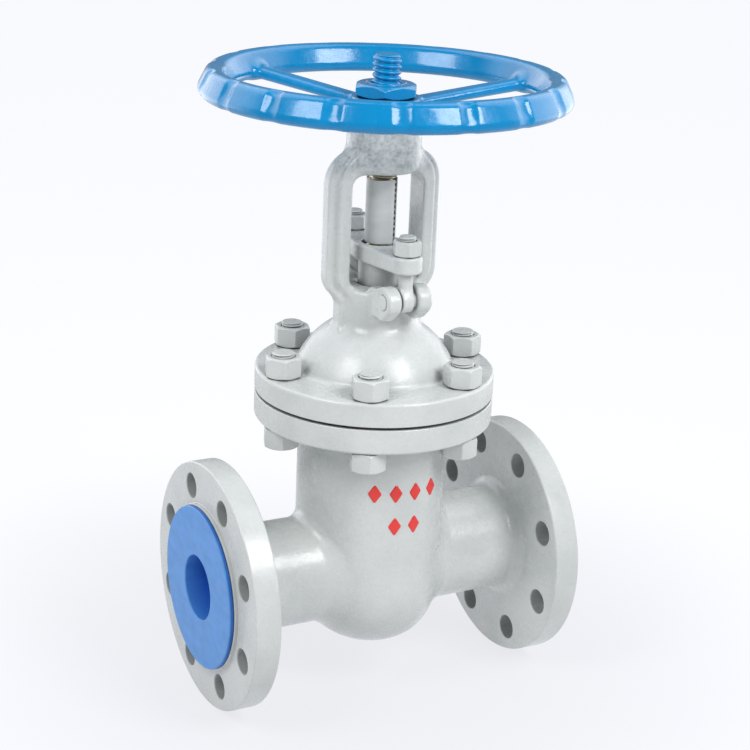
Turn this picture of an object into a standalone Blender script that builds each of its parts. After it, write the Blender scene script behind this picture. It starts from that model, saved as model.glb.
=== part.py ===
"""Flanged gate valve, DN65 PN25, with an outside screw and yoke and a rising stem.

Metres, +Z up. The pipe runs along X and the stem along Z. Every size below is counted from the
point where those two axes cross, and all pieces hang on one empty, valve_stand, which lifts that
point a flange radius above the ground: the world's origin is under it, at the flanges' lowest line.
The valve is shut, as it leaves the works, with a plastic cap on each flange.
"""

import math

import bmesh
import bpy
from mathutils import Matrix

GAP = 0.0003  # left between two pieces that touch
LONG = 0.012  # how far a cutter runs past the material that it cuts
PLAY = 0.0005  # between the wedge and what it slides or hangs on
EDGE = 0.001  # chamfer on a turned edge
FINE_EDGE = 0.0008  # chamfer on a smaller or a mating edge

# Pipe ends: DN65, PN25
FACE_TO_FACE = 0.265
BORE_R = 0.0325
NECK_R = 0.039
NECK_FILLET = 0.009
FLANGE_R = 0.090
FLANGE_THICKNESS = 0.022
RAISED_R = 0.060
RAISED_HEIGHT = 0.003
FLANGE_PITCH_R = 0.0725
FLANGE_HOLES = 8
FLANGE_HOLE_R = 0.009
FACE_X = FACE_TO_FACE / 2
SHOULDER_X = FACE_X - RAISED_HEIGHT
FLANGE_BACK_X = FACE_X - FLANGE_THICKNESS

# Body barrel: an upright oval column with a round bottom
BARREL_X = 0.0525
BARREL_Y = 0.0595
BARREL_BOTTOM = -0.064
CAVITY_X = 0.043
CAVITY_Y = 0.050
CAVITY_BOTTOM = -0.054
BULB_POWER = 2.5

# Bolted joint between body and bonnet
BONNET_FLANGE_R = 0.086
BODY_FLANGE_BOTTOM = 0.115
BODY_FLANGE_TOP = 0.133
BONNET_FLANGE_BOTTOM = 0.135
BONNET_FLANGE_TOP = 0.152
GASKET_OUTER_R = 0.063
GASKET_INNER_R = 0.052
STUD_COUNT = 6
STUD_PITCH_R = 0.0725
STUD_R = 0.008
STUD_HOLE_R = 0.0088
STUD_BOTTOM = 0.101
STUD_TOP = 0.1697
STUD_NUT_FLATS = 0.024
STUD_NUT_HEIGHT = 0.0148

# Wedge and seats
WEDGE_ANGLE = math.radians(5)
WEDGE_HALF = 0.013  # half its thickness on the pipe axis
WEDGE_R = 0.041
SEAT_R = 0.040
SEAT_BACK_X = 0.032
SEAT_BOSS_X = 0.024
SEAT_BOSS_R = 0.046
GUIDE_HALF = 0.0034
GUIDE_Y = 0.040
GUIDE_BOTTOM = -0.025
GUIDE_TOP = 0.112
EAR_HALF = 0.008
EAR_Y = 0.0435
EAR_Z = 0.020
TEE_HALF_X = 0.009
TEE_HALF_Y = 0.0116
TEE_BOTTOM = 0.0483
TEE_TOP = 0.0557
BOSS_HALF_X = 0.011
BOSS_HALF_Y = 0.018
BOSS_BOTTOM = 0.030
BOSS_TOP = 0.064

# Stem, stuffing box and gland
STEM_R = 0.010
STEM_NECK_R = 0.008
STEM_TOP = 0.375
STEM_BORE_R = 0.0104
LIFT = 0.072
BACKSEAT_BOTTOM = 0.170
COLLAR_R = 0.014
COLLAR_TOP = BACKSEAT_BOTTOM - LIFT
COLLAR_BOTTOM = COLLAR_TOP - 0.005
BACKSEAT_R = 0.016
BOX_BOTTOM = 0.180
BOX_TOP = 0.213
BOX_R = 0.015
PACKING_RINGS = 5
PACKING_PITCH = 0.0052
GLAND_BOTTOM = BOX_BOTTOM + PACKING_RINGS * PACKING_PITCH + GAP
GLAND_R = BOX_R - 0.0004
GLAND_SPIGOT_R = 0.0125
GLAND_SPIGOT_TOP = 0.238
GLAND_PLATE_BOTTOM = 0.2313
GLAND_PLATE_TOP = 0.2433
GLAND_PLATE_R = 0.019
GLAND_BOLT_Y = 0.040
GLAND_LUG_R = 0.011
GLAND_HOLE_R = 0.0067
EYEBOLT_R = 0.006
EYEBOLT_TOP = 0.257
EYE_R = 0.0085
EYE_HALF = 0.0055
PIN_Z = 0.211
PIN_R = 0.0055
PIN_HALF_LENGTH = 0.018
LUG_R = 0.010
LUG_INNER_X = 0.0067
LUG_OUTER_X = 0.017
GLAND_NUT_FLATS = 0.018
GLAND_NUT_HEIGHT = 0.0105

# Bonnet dome and yoke
DOME_CENTRE_Z = 0.1306
DOME_R = 0.0616
DOME_WALL = 0.010
DOME_ROOF = 0.168
NECK_TOP_R = 0.029
WINDOW_HALF = 0.028
WINDOW_BOTTOM = 0.2131
WINDOW_TOP = 0.294
WINDOW_CORNER = 0.009
BEAD_HALF = 0.037
BEAD_HALF_Y = 0.011
RIB_HALF = 0.0435
RIB_HALF_Y = 0.0055
BEAD_BOTTOM = 0.206
RIB_BOTTOM = 0.203
FOOT_R = 0.020
SHOULDER_R = 0.024
SHOULDER_Z = 0.286
HEAD_R = 0.026
HEAD_BOTTOM = 0.297
HEAD_TOP = 0.333

# Yoke nut and handwheel
YOKE_NUT_R = 0.014
YOKE_NUT_BOTTOM = 0.2945
YOKE_NUT_FLANGE_R = 0.020
YOKE_NUT_FLANGE_BOTTOM = 0.318
RETAINER_BOTTOM = 0.326
RETAINER_R = 0.022
DRIVE_R = 0.0135
HUB_R = 0.024
HUB_BOTTOM = 0.336
HUB_TOP = 0.3457
WHEEL_NUT_FLATS = 0.041
WHEEL_NUT_HEIGHT = 0.009
WHEEL_R = 0.129
RIM_Z = 0.354
RIM_HALF_WIDTH = 0.011
RIM_HALF_HEIGHT = 0.010
SPOKE_HALF_WIDTH = 0.0075
SPOKE_HALF_HEIGHT = 0.0045
SPOKE_Z = 0.3412  # its middle at the hub
SPOKE_RISE = 0.0095
SPOKE_ANGLES = [math.radians(120 * i) for i in range(3)]
KEY_HALF = 0.0025
KEY_INNER_X = 0.0122
KEY_OUTER_X = 0.0162

# Shipping pieces
CAP_R = 0.059
CAP_THICKNESS = 0.003
CAP_RECESS_R = 0.0235
CAP_TUBE_R = 0.026
CAP_FIN_R = 0.0321
CAP_DEPTH = 0.020
CAP_WALL = 0.0025
CAP_FIN_X = FACE_X - 0.005
SLEEVE_INNER_R = 0.01035
SLEEVE_OUTER_R = 0.0110
SLEEVE_BOTTOM = GLAND_PLATE_TOP + 0.0005
SLEEVE_TOP = 0.2893
SLEEVE_SLOT_ANGLE = math.radians(-40)
SLEEVE_SLOT_WIDTH = 0.009

ROUND = 32  # sides of a large round piece
MEDIUM_ROUND = 16  # sides of a bush or a ring
SMALL_ROUND = 12  # sides of a bolt or its hole
RIM_ROUND = 48  # sides of the handwheel's rim
FLAT_ANGLE = math.radians(0.2)  # faces closer to one plane than this become one face

COLOURS = {
    "silver_enamel": ((0.60, 0.63, 0.62), 0.34, 0.0),
    "blue_enamel": ((0.01, 0.22, 0.62), 0.28, 0.0),
    "blue_plastic": ((0.10, 0.33, 0.75), 0.45, 0.0),
    "stem_steel": ((0.55, 0.56, 0.57), 0.30, 1.0),
    "bronze": ((0.60, 0.40, 0.18), 0.35, 1.0),
    "graphite": ((0.04, 0.04, 0.045), 0.70, 0.0),
    "hard_facing": ((0.66, 0.67, 0.68), 0.22, 1.0),
    "sleeve_plastic": ((0.58, 0.61, 0.61), 0.45, 0.0),
}


def clear_scene():
    for obj in list(bpy.data.objects):
        bpy.data.objects.remove(obj, do_unlink=True)
    for name in ("gate_valve", "cutters"):
        bpy.context.scene.collection.children.link(bpy.data.collections.new(name))
    stand = bpy.data.objects.new("valve_stand", None)
    stand.location.z = FLANGE_R
    bpy.data.collections["gate_valve"].objects.link(stand)


def materials():
    made = {}
    for name, (colour, roughness, metallic) in COLOURS.items():
        material = bpy.data.materials.new(name)
        material.use_nodes = True
        shader = material.node_tree.nodes["Principled BSDF"]
        shader.inputs["Base Color"].default_value = (*colour, 1)
        shader.inputs["Roughness"].default_value = roughness
        shader.inputs["Metallic"].default_value = metallic
        made[name] = material
    return made


# ---------------------------------------------------------------- building blocks


def placed(name, mesh, matrix=None):
    """A working object in the cutters collection, hidden from the render."""
    obj = bpy.data.objects.new(name, mesh)
    bpy.data.collections["cutters"].objects.link(obj)
    obj.hide_render = True
    obj.display_type = "WIRE"
    if matrix is not None:
        mesh.transform(matrix)
    return obj


def baked(obj):
    """Replaces the object's mesh and modifiers by the result, welded and facing out."""
    bpy.context.view_layer.update()
    graph = bpy.context.evaluated_depsgraph_get()
    mesh = bpy.data.meshes.new_from_object(obj.evaluated_get(graph))
    work = bmesh.new()
    work.from_mesh(mesh)
    bmesh.ops.remove_doubles(work, verts=work.verts, dist=1e-6)
    bmesh.ops.recalc_face_normals(work, faces=work.faces)
    work.to_mesh(mesh)
    work.free()
    name = obj.name
    bpy.data.objects.remove(obj, do_unlink=True)
    return placed(name, mesh)


def turned(name, profile, steps=ROUND, ring=False, along="Z"):
    """Points (radius, height) turned about Z or X. A ring's profile closes on itself."""
    mesh = bpy.data.meshes.new(name)
    count = len(profile)
    edges = [(i, i + 1) for i in range(count - 1)]
    if ring:
        edges.append((count - 1, 0))
    mesh.from_pydata([(radius, 0, height) for radius, height in profile], edges, [])
    obj = placed(name, mesh)
    screw = obj.modifiers.new("turn", "SCREW")
    screw.steps = screw.render_steps = steps
    screw.use_merge_vertices = True
    screw.merge_threshold = 1e-6
    obj = baked(obj)
    if along == "X":
        obj.data.transform(Matrix.Rotation(math.pi / 2, 4, "Y"))
    return obj


def cylinder(name, radius, bottom, top, steps=SMALL_ROUND, along="Z"):
    return turned(name, [(0, top), (radius, top), (radius, bottom), (0, bottom)], steps, along=along)


def box(name, low, high):
    mesh = bpy.data.meshes.new(name)
    work = bmesh.new()
    bmesh.ops.create_cube(work, size=1)
    work.to_mesh(mesh)
    work.free()
    middle = [(a + b) / 2 for a, b in zip(low, high)]
    size = [b - a for a, b in zip(low, high)]
    return placed(name, mesh, Matrix.LocRotScale(middle, None, size))


def plate(name, loops, low, high, upright=False):
    """Flat outlines filled and given a thickness along Z, or along Y where it stands upright."""
    curve = bpy.data.curves.new(name, "CURVE")
    curve.dimensions = "2D"
    curve.fill_mode = "BOTH"
    curve.extrude = (high - low) / 2
    for loop in loops:
        spline = curve.splines.new("POLY")
        spline.points.add(len(loop) - 1)
        spline.use_cyclic_u = True
        for point, (x, y) in zip(spline.points, loop):
            point.co = (x, y, 0, 1)
    obj = bpy.data.objects.new(name, curve)
    bpy.data.collections["cutters"].objects.link(obj)
    obj = baked(obj)
    lift = Matrix.Translation((0, 0, (low + high) / 2))
    turn = Matrix.Rotation(math.pi / 2, 4, "X") if upright else Matrix.Identity(4)
    obj.data.transform(turn @ lift)
    return obj


def combined(base, others, operation):
    """Each Boolean is baked before the next, so that every one starts from a welded mesh."""
    for other in others:
        change = base.modifiers.new(operation.lower(), "BOOLEAN")
        change.operation = operation
        change.object = other
        base = baked(base)
        bpy.data.objects.remove(other, do_unlink=True)
    return base


def cut(base, *cutters):
    return combined(base, cutters, "DIFFERENCE")


def join(base, *others):
    return combined(base, others, "UNION")


def common(base, *others):
    return combined(base, others, "INTERSECT")


def copies(obj, matrices):
    """Copies of an object in one mesh. They must not touch."""
    work = bmesh.new()
    for matrix in matrices:
        mesh = obj.data.copy()
        mesh.transform(matrix)
        work.from_mesh(mesh)
        bpy.data.meshes.remove(mesh)
    mesh = bpy.data.meshes.new(obj.name + "_set")
    work.to_mesh(mesh)
    work.free()
    bpy.data.objects.remove(obj, do_unlink=True)
    return placed(mesh.name, mesh)


def around(axis, count, start=0.0):
    return [Matrix.Rotation(start + 2 * math.pi * i / count, 4, axis) for i in range(count)]


def mesh_of(obj):
    """A working object's mesh with its flat faces made one each. The object is removed."""
    mesh = obj.data
    work = bmesh.new()
    work.from_mesh(mesh)
    bmesh.ops.dissolve_limit(work, angle_limit=FLAT_ANGLE, verts=work.verts, edges=work.edges)
    work.to_mesh(mesh)
    work.free()
    bpy.data.objects.remove(obj, do_unlink=True)
    return mesh


def piece(name, obj, material, location=(0, 0, 0)):
    """The finished object: named, in the valve's collection and drawn smooth."""
    mesh = mesh_of(obj)
    mesh.transform(Matrix.Translation([-v for v in location]))
    piece_of(name, mesh, material, location)


def piece_of(name, mesh, material, location):
    obj = bpy.data.objects.new(name, mesh)
    bpy.data.collections["gate_valve"].objects.link(obj)
    obj.parent = bpy.data.objects["valve_stand"]
    obj.location = location
    if not mesh.materials:
        mesh.materials.append(material)
    mesh.shade_smooth()
    mesh.set_sharp_from_angle(angle=math.radians(35))
    return obj


def arc(centre, radius, start, end, points=6):
    """Points on an arc, with its angles in degrees."""
    angles = [math.radians(start + (end - start) * i / (points - 1)) for i in range(points)]
    return [(centre[0] + radius * math.cos(a), centre[1] + radius * math.sin(a)) for a in angles]


def bulb(radius, bottom, points=7):
    """The rounded lower end of the barrel, from its full radius on the pipe axis to the middle."""
    profile = []
    for i in range(points):
        angle = math.pi / 2 * i / (points - 1)
        share = 2 / BULB_POWER
        profile.append((radius * math.cos(angle) ** share, bottom * math.sin(angle) ** share))
    profile[-1] = (0, bottom)
    return profile


def hex_nut(name, flats, height, bore, steps=SMALL_ROUND):
    """A chamfered hexagon nut from z = 0 up, with two of its corners on the X axis."""
    corner = flats / math.sqrt(3)
    chamfer = corner - flats / 2
    mesh = bpy.data.meshes.new(name)
    work = bmesh.new()
    bmesh.ops.create_cone(work, cap_ends=True, segments=6, radius1=corner, radius2=corner, depth=height)
    work.to_mesh(mesh)
    work.free()
    first = math.atan2(mesh.vertices[0].co.y, mesh.vertices[0].co.x)
    nut = placed(name, mesh, Matrix.Translation((0, 0, height / 2)) @ Matrix.Rotation(-first, 4, "Z"))
    rim = flats / 2 * 0.96
    drop = (corner - rim) * math.tan(math.radians(30))
    outside = corner + chamfer * 0.2
    ends = turned(name + "_chamfer", [
        (0, height + GAP), (rim, height + GAP), (rim, height), (outside, height - drop * 1.2),
        (outside, drop * 1.2), (rim, 0), (rim, -GAP), (0, -GAP),
    ], SMALL_ROUND)
    hole = cylinder(name + "_bore", bore, -LONG, height + LONG, steps)
    return cut(common(nut, ends), hole)


# ---------------------------------------------------------------- pressure shell


def valve_body(paint):
    """The cast body: pipe run, barrel and top flange, hollow for the wedge."""
    half_run = [
        (RAISED_R, FACE_X), (RAISED_R, SHOULDER_X), (FLANGE_R - EDGE, SHOULDER_X),
        (FLANGE_R, SHOULDER_X - EDGE), (FLANGE_R, FLANGE_BACK_X + EDGE), (FLANGE_R - EDGE, FLANGE_BACK_X),
    ]
    fillet_x = FLANGE_BACK_X - NECK_FILLET
    half_run += arc((NECK_R + NECK_FILLET, fillet_x), NECK_FILLET, 90, 180, 5)
    mirrored = [(radius, -x) for radius, x in reversed(half_run)]
    run = turned("run", [(0, FACE_X)] + half_run + mirrored + [(0, -FACE_X)], along="X")

    barrel = turned("barrel", [(0, BODY_FLANGE_TOP - 0.004), (BARREL_Y, BODY_FLANGE_TOP - 0.004)]
                    + bulb(BARREL_Y, BARREL_BOTTOM))
    barrel.data.transform(Matrix.Diagonal((BARREL_X / BARREL_Y, 1, 1, 1)))
    flange = turned("top_flange", [
        (0, BODY_FLANGE_TOP), (BONNET_FLANGE_R - FINE_EDGE, BODY_FLANGE_TOP),
        (BONNET_FLANGE_R, BODY_FLANGE_TOP - FINE_EDGE), (BONNET_FLANGE_R, BODY_FLANGE_BOTTOM + 2 * EDGE),
        (BONNET_FLANGE_R - 2 * EDGE, BODY_FLANGE_BOTTOM), (0, BODY_FLANGE_BOTTOM),
    ])
    shell = join(run, barrel, flange)

    cavity = turned("cavity", [(0, BODY_FLANGE_TOP + LONG), (CAVITY_Y, BODY_FLANGE_TOP + LONG)]
                    + bulb(CAVITY_Y, CAVITY_BOTTOM))
    cavity.data.transform(Matrix.Diagonal((CAVITY_X / CAVITY_Y, 1, 1, 1)))
    bosses = [cylinder("seat_boss", SEAT_BOSS_R, *span, ROUND, "X")
              for span in ((SEAT_BOSS_X, BARREL_X + LONG), (-BARREL_X - LONG, -SEAT_BOSS_X))]
    guides = [box("guide", (-GUIDE_HALF, low, GUIDE_BOTTOM), (GUIDE_HALF, low + LONG, GUIDE_TOP))
              for low in (GUIDE_Y, -GUIDE_Y - LONG)]
    cavity = cut(cavity, *bosses, *guides)

    bore = cylinder("bore", BORE_R, -FACE_X - LONG, FACE_X + LONG, ROUND, "X")
    seats = cylinder("seat_bore", SEAT_R + GAP, -SEAT_BACK_X - GAP, SEAT_BACK_X + GAP, ROUND, "X")
    holes = pipe_bolt_holes() + [stud_holes(BODY_FLANGE_BOTTOM - LONG, BODY_FLANGE_TOP + LONG)]
    piece("valve_body", cut(shell, cavity, bore, seats, *holes), paint)


def pipe_bolt_holes():
    """Eight holes in each pipe flange, straddling the upright centre line."""
    holes = []
    for side in (-1, 1):
        span = sorted((side * (FLANGE_BACK_X - 0.004), side * (FACE_X + LONG)))
        hole = cylinder("pipe_bolt_hole", FLANGE_HOLE_R, *span, SMALL_ROUND, "X")
        hole.data.transform(Matrix.Translation((0, FLANGE_PITCH_R, 0)))
        holes.append(copies(hole, around("X", FLANGE_HOLES, math.pi / FLANGE_HOLES)))
    return holes


def stud_holes(bottom, top):
    hole = cylinder("stud_hole", STUD_HOLE_R, bottom, top)
    hole.data.transform(Matrix.Translation((STUD_PITCH_R, 0, 0)))
    return copies(hole, around("Z", STUD_COUNT))


def seat_face_cutter(side, offset):
    """A block whose near face leans at the wedge's angle and meets the pipe axis this far out."""
    block = box("seat_face", (0, -FLANGE_R, -FLANGE_R), (FLANGE_R, FLANGE_R, FLANGE_R))
    block.data.transform(Matrix.Translation((offset, 0, 0)) @ Matrix.Rotation(WEDGE_ANGLE, 4, "Y"))
    return facing_side(block, side)


def facing_side(obj, side):
    """Turns a working object made for the +X side to the -X side where side is negative."""
    if side < 0:
        obj.data.transform(Matrix.Rotation(math.pi, 4, "Z"))
    return obj


def seat_rings(facing):
    """Rings with hard faces, pressed into the body on both sides of the wedge."""
    front_x = 0.004  # nearer the middle than any point of the slanting face
    for name, side in (("seat_ring_left", -1), ("seat_ring_right", 1)):
        profile = [(SEAT_R, SEAT_BACK_X), (SEAT_R, front_x), (BORE_R, front_x), (BORE_R, SEAT_BACK_X)]
        ring = facing_side(turned(name, profile, ring=True, along="X"), side)
        piece(name, common(ring, seat_face_cutter(side, WEDGE_HALF + GAP)), facing)


def wedge_gate(facing):
    """The solid wedge, with its guide ears and the slot that hangs it on the stem."""
    disc = cylinder("disc", WEDGE_R, -1.5 * WEDGE_HALF, 1.5 * WEDGE_HALF, ROUND, "X")
    disc = cut(disc, seat_face_cutter(1, WEDGE_HALF), seat_face_cutter(-1, WEDGE_HALF))
    ears = box("ears", (-EAR_HALF, -EAR_Y, -EAR_Z), (EAR_HALF, EAR_Y, EAR_Z))
    boss = box("boss", (-BOSS_HALF_X, -BOSS_HALF_Y, BOSS_BOTTOM), (BOSS_HALF_X, BOSS_HALF_Y, BOSS_TOP))
    wedge = join(disc, ears, boss)
    groove_half, groove_y = GUIDE_HALF + PLAY, GUIDE_Y - PLAY
    grooves = [box("groove", (-groove_half, low, -WEDGE_R - LONG), (groove_half, low + LONG, WEDGE_R + LONG))
               for low in (groove_y, -groove_y - LONG)]
    slot_x, tee_y, neck_y = 2 * WEDGE_HALF, TEE_HALF_Y + PLAY, STEM_NECK_R + PLAY
    tee = box("tee_slot", (-slot_x, -tee_y, TEE_BOTTOM - GAP), (slot_x, tee_y, TEE_TOP + GAP))
    neck = box("neck_slot", (-slot_x, -neck_y, TEE_TOP - EDGE), (slot_x, neck_y, BOSS_TOP + LONG))
    piece("wedge_gate", cut(wedge, *grooves, join(tee, neck)), facing)


def bonnet_gasket(graphite):
    profile = [(GASKET_OUTER_R, BONNET_FLANGE_BOTTOM - GAP), (GASKET_OUTER_R, BODY_FLANGE_TOP + GAP),
               (GASKET_INNER_R, BODY_FLANGE_TOP + GAP), (GASKET_INNER_R, BONNET_FLANGE_BOTTOM - GAP)]
    piece("bonnet_gasket", turned("gasket", profile, ring=True), graphite)


# ---------------------------------------------------------------- bonnet with its yoke


def dome_point(radius, dome_radius):
    return (radius, DOME_CENTRE_Z + math.sqrt(dome_radius ** 2 - radius ** 2))


def bonnet_shell():
    """Flange, dome and stuffing box neck, turned in one."""
    outside = [
        (0, BOX_TOP), (NECK_TOP_R - EDGE, BOX_TOP), (NECK_TOP_R, BOX_TOP - EDGE), (NECK_TOP_R, 0.194),
        (0.0305, 0.1885), (0.033, 0.1850),
    ]
    outside += [dome_point(radius, DOME_R) for radius in (0.036, 0.042, 0.048, 0.053, 0.0565)]
    outside += [
        (0.0585, BONNET_FLANGE_TOP + 0.001), (0.0605, BONNET_FLANGE_TOP),
        (BONNET_FLANGE_R - 2 * EDGE, BONNET_FLANGE_TOP), (BONNET_FLANGE_R, BONNET_FLANGE_TOP - 2 * EDGE),
        (BONNET_FLANGE_R, BONNET_FLANGE_BOTTOM + FINE_EDGE),
        (BONNET_FLANGE_R - FINE_EDGE, BONNET_FLANGE_BOTTOM), (0, BONNET_FLANGE_BOTTOM),
    ]
    return turned("bonnet_shell", outside)


def dome_cavity():
    inner = DOME_R - DOME_WALL
    widest = math.sqrt(inner ** 2 - (BONNET_FLANGE_BOTTOM - LONG - DOME_CENTRE_Z) ** 2)
    roof = math.sqrt(inner ** 2 - (DOME_ROOF - DOME_CENTRE_Z) ** 2)
    profile = [(0, DOME_ROOF), (roof, DOME_ROOF), dome_point(0.041, inner), dome_point(0.046, inner),
               dome_point(0.050, inner), (widest, BONNET_FLANGE_BOTTOM - LONG),
               (0, BONNET_FLANGE_BOTTOM - LONG)]
    return turned("dome_cavity", profile)


def both_sides(half):
    """A closed outline from its +X half, listed from bottom to top."""
    return half + [(-x, z) for x, z in reversed(half)]


def window_outline():
    x = WINDOW_HALF - WINDOW_CORNER
    lower = arc((x, WINDOW_BOTTOM + WINDOW_CORNER), WINDOW_CORNER, -90, 0, 5)
    upper = arc((x, WINDOW_TOP - WINDOW_CORNER), WINDOW_CORNER, 0, 90, 5)
    return both_sides(lower + upper)


def yoke_outline(half, bottom):
    """From inside the neck, round the foot, up the arm and over the shoulder into the head."""
    foot = arc((half - FOOT_R, bottom + FOOT_R), FOOT_R, -62, 0, 5)
    shoulder = arc((half - SHOULDER_R, SHOULDER_Z), SHOULDER_R, 0, 58, 6)
    in_head = [(HEAD_R - 0.003, 0.313), (HEAD_R - 0.005, 0.322)]
    return both_sides([(0.016, bottom - 0.004)] + foot + shoulder + in_head)


def yoke_frame():
    """Two arms and their shoulders: a wide bead around the window, and a narrow rib outside it."""
    bead = [yoke_outline(BEAD_HALF, BEAD_BOTTOM), window_outline()]
    rib = [yoke_outline(RIB_HALF, RIB_BOTTOM), window_outline()]
    return [plate("bead", bead, -BEAD_HALF_Y, BEAD_HALF_Y, upright=True),
            plate("rib", rib, -RIB_HALF_Y, RIB_HALF_Y, upright=True)]


def pin_lugs():
    """Two plates through the neck, each with a lug at the front and one at the back."""
    end = arc((GLAND_BOLT_Y, PIN_Z), LUG_R, -80, 78, 8)
    foot, shelf = 0.199, BOX_TOP - 0.001
    root = [(0.012, foot - 0.006), (0.028, foot - 0.003)]
    outline = both_sides(root + end + [(0.029, shelf), (0.012, shelf)])
    plates = []
    for low, high in ((-LUG_OUTER_X, -LUG_INNER_X), (LUG_INNER_X, LUG_OUTER_X)):
        lug = plate("lug_plate", [outline], low, high)
        # The outline's x and y become Y and Z, and its thickness lies along X.
        lug.data.transform(Matrix(((0, 0, 1, 0), (1, 0, 0, 0), (0, 1, 0, 0), (0, 0, 0, 1))))
        plates.append(lug)
    return plates


def nut_bore():
    """The stepped bore in the head, for the yoke nut with its flange and for the retainer over it."""
    ring_r, flange_r, nut_r = RETAINER_R + GAP, YOKE_NUT_FLANGE_R + GAP, YOKE_NUT_R + GAP
    ring_z, flange_z = RETAINER_BOTTOM - GAP, YOKE_NUT_FLANGE_BOTTOM - GAP
    return turned("nut_bore", [
        (0, HEAD_TOP + LONG), (ring_r, HEAD_TOP + LONG), (ring_r, ring_z), (flange_r, ring_z),
        (flange_r, flange_z), (nut_r, flange_z), (nut_r, WINDOW_TOP - LONG), (0, WINDOW_TOP - LONG),
    ])


def bonnet_yoke(paint):
    head = turned("head", [
        (0, HEAD_TOP), (HEAD_R - EDGE, HEAD_TOP), (HEAD_R, HEAD_TOP - EDGE), (HEAD_R, HEAD_BOTTOM + 0.008),
        (HEAD_R - 0.004, HEAD_BOTTOM), (0, HEAD_BOTTOM),
    ])
    casting = join(bonnet_shell(), *yoke_frame(), *pin_lugs(), head)
    backseat = cylinder("backseat_bore", BACKSEAT_R + GAP, DOME_ROOF - 0.002, BOX_BOTTOM, ROUND)
    stuffing_box = cylinder("stuffing_box", BOX_R + GAP, BOX_BOTTOM - EDGE, WINDOW_BOTTOM + 0.004, ROUND)
    pin_holes = []
    for y in (-GLAND_BOLT_Y, GLAND_BOLT_Y):
        hole = cylinder("pin_hole", PIN_R + GAP, -LUG_OUTER_X - LONG, LUG_OUTER_X + LONG, SMALL_ROUND, "X")
        hole.data.transform(Matrix.Translation((0, y, PIN_Z)))
        pin_holes.append(hole)
    casting = cut(casting, dome_cavity(), backseat, stuffing_box, nut_bore(), *pin_holes,
                  stud_holes(BONNET_FLANGE_BOTTOM - LONG, BONNET_FLANGE_TOP + LONG))
    piece("bonnet_yoke", casting, paint)


def bonnet_studs(steel, paint):
    """Six studs, each with a nut above the bonnet flange and one below the body flange."""
    stud_mesh = mesh_of(turned("stud", [
        (0, STUD_TOP), (STUD_R - EDGE, STUD_TOP), (STUD_R, STUD_TOP - EDGE),
        (STUD_R, STUD_BOTTOM + EDGE), (STUD_R - EDGE, STUD_BOTTOM), (0, STUD_BOTTOM),
    ], SMALL_ROUND))
    nut_mesh = mesh_of(hex_nut("stud_nut", STUD_NUT_FLATS, STUD_NUT_HEIGHT, STUD_R + GAP))
    for i in range(STUD_COUNT):
        angle = 2 * math.pi * i / STUD_COUNT
        x, y = STUD_PITCH_R * math.cos(angle), STUD_PITCH_R * math.sin(angle)
        piece_of(f"bonnet_stud_{i + 1}", stud_mesh, steel, (x, y, 0))
        upper = piece_of(f"bonnet_nut_upper_{i + 1}", nut_mesh, paint, (x, y, BONNET_FLANGE_TOP + GAP))
        lower = piece_of(f"bonnet_nut_lower_{i + 1}", nut_mesh, paint,
                         (x, y, BODY_FLANGE_BOTTOM - GAP - STUD_NUT_HEIGHT))
        # Two flats of each nut face the barrel and the dome.
        upper.rotation_euler.z = lower.rotation_euler.z = angle + math.pi / 6


# ---------------------------------------------------------------- stem, packing and gland


def stem(steel):
    rod = turned("rod", [
        (0, STEM_TOP), (STEM_R - 2 * EDGE, STEM_TOP), (STEM_R, STEM_TOP - 2 * EDGE),
        (STEM_R, COLLAR_TOP + 0.004), (COLLAR_R, COLLAR_TOP), (COLLAR_R, COLLAR_BOTTOM),
        (STEM_R, COLLAR_BOTTOM - 0.004), (STEM_R, 0.068),
        (STEM_NECK_R, 0.066), (STEM_NECK_R, TEE_BOTTOM + 0.002), (0, TEE_BOTTOM + 0.002),
    ], SMALL_ROUND)
    tee = box("tee", (-TEE_HALF_X, -TEE_HALF_Y, TEE_BOTTOM), (TEE_HALF_X, TEE_HALF_Y, TEE_TOP))
    piece("stem", join(rod, tee), steel)


def sleeve_ring(name, outer, inner, bottom, top, steps=MEDIUM_ROUND):
    return turned(name, [(outer, top), (outer, bottom), (inner, bottom), (inner, top)], steps, ring=True)


def stuffing_box_fill(bronze, graphite):
    """The back seat below the packing, and the packing rings."""
    seat = turned("backseat", [
        (BACKSEAT_R, BOX_BOTTOM - GAP), (BACKSEAT_R, BACKSEAT_BOTTOM + GAP),
        (COLLAR_R, BACKSEAT_BOTTOM + GAP), (STEM_BORE_R, BACKSEAT_BOTTOM + 0.0045),
        (STEM_BORE_R, BOX_BOTTOM - GAP),
    ], MEDIUM_ROUND, ring=True)
    piece("backseat_bushing", seat, bronze)
    for i in range(PACKING_RINGS):
        bottom = BOX_BOTTOM + i * PACKING_PITCH
        ring = sleeve_ring("packing", BOX_R, STEM_BORE_R, bottom, bottom + PACKING_PITCH - GAP)
        piece(f"packing_ring_{i + 1}", ring, graphite)


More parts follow.
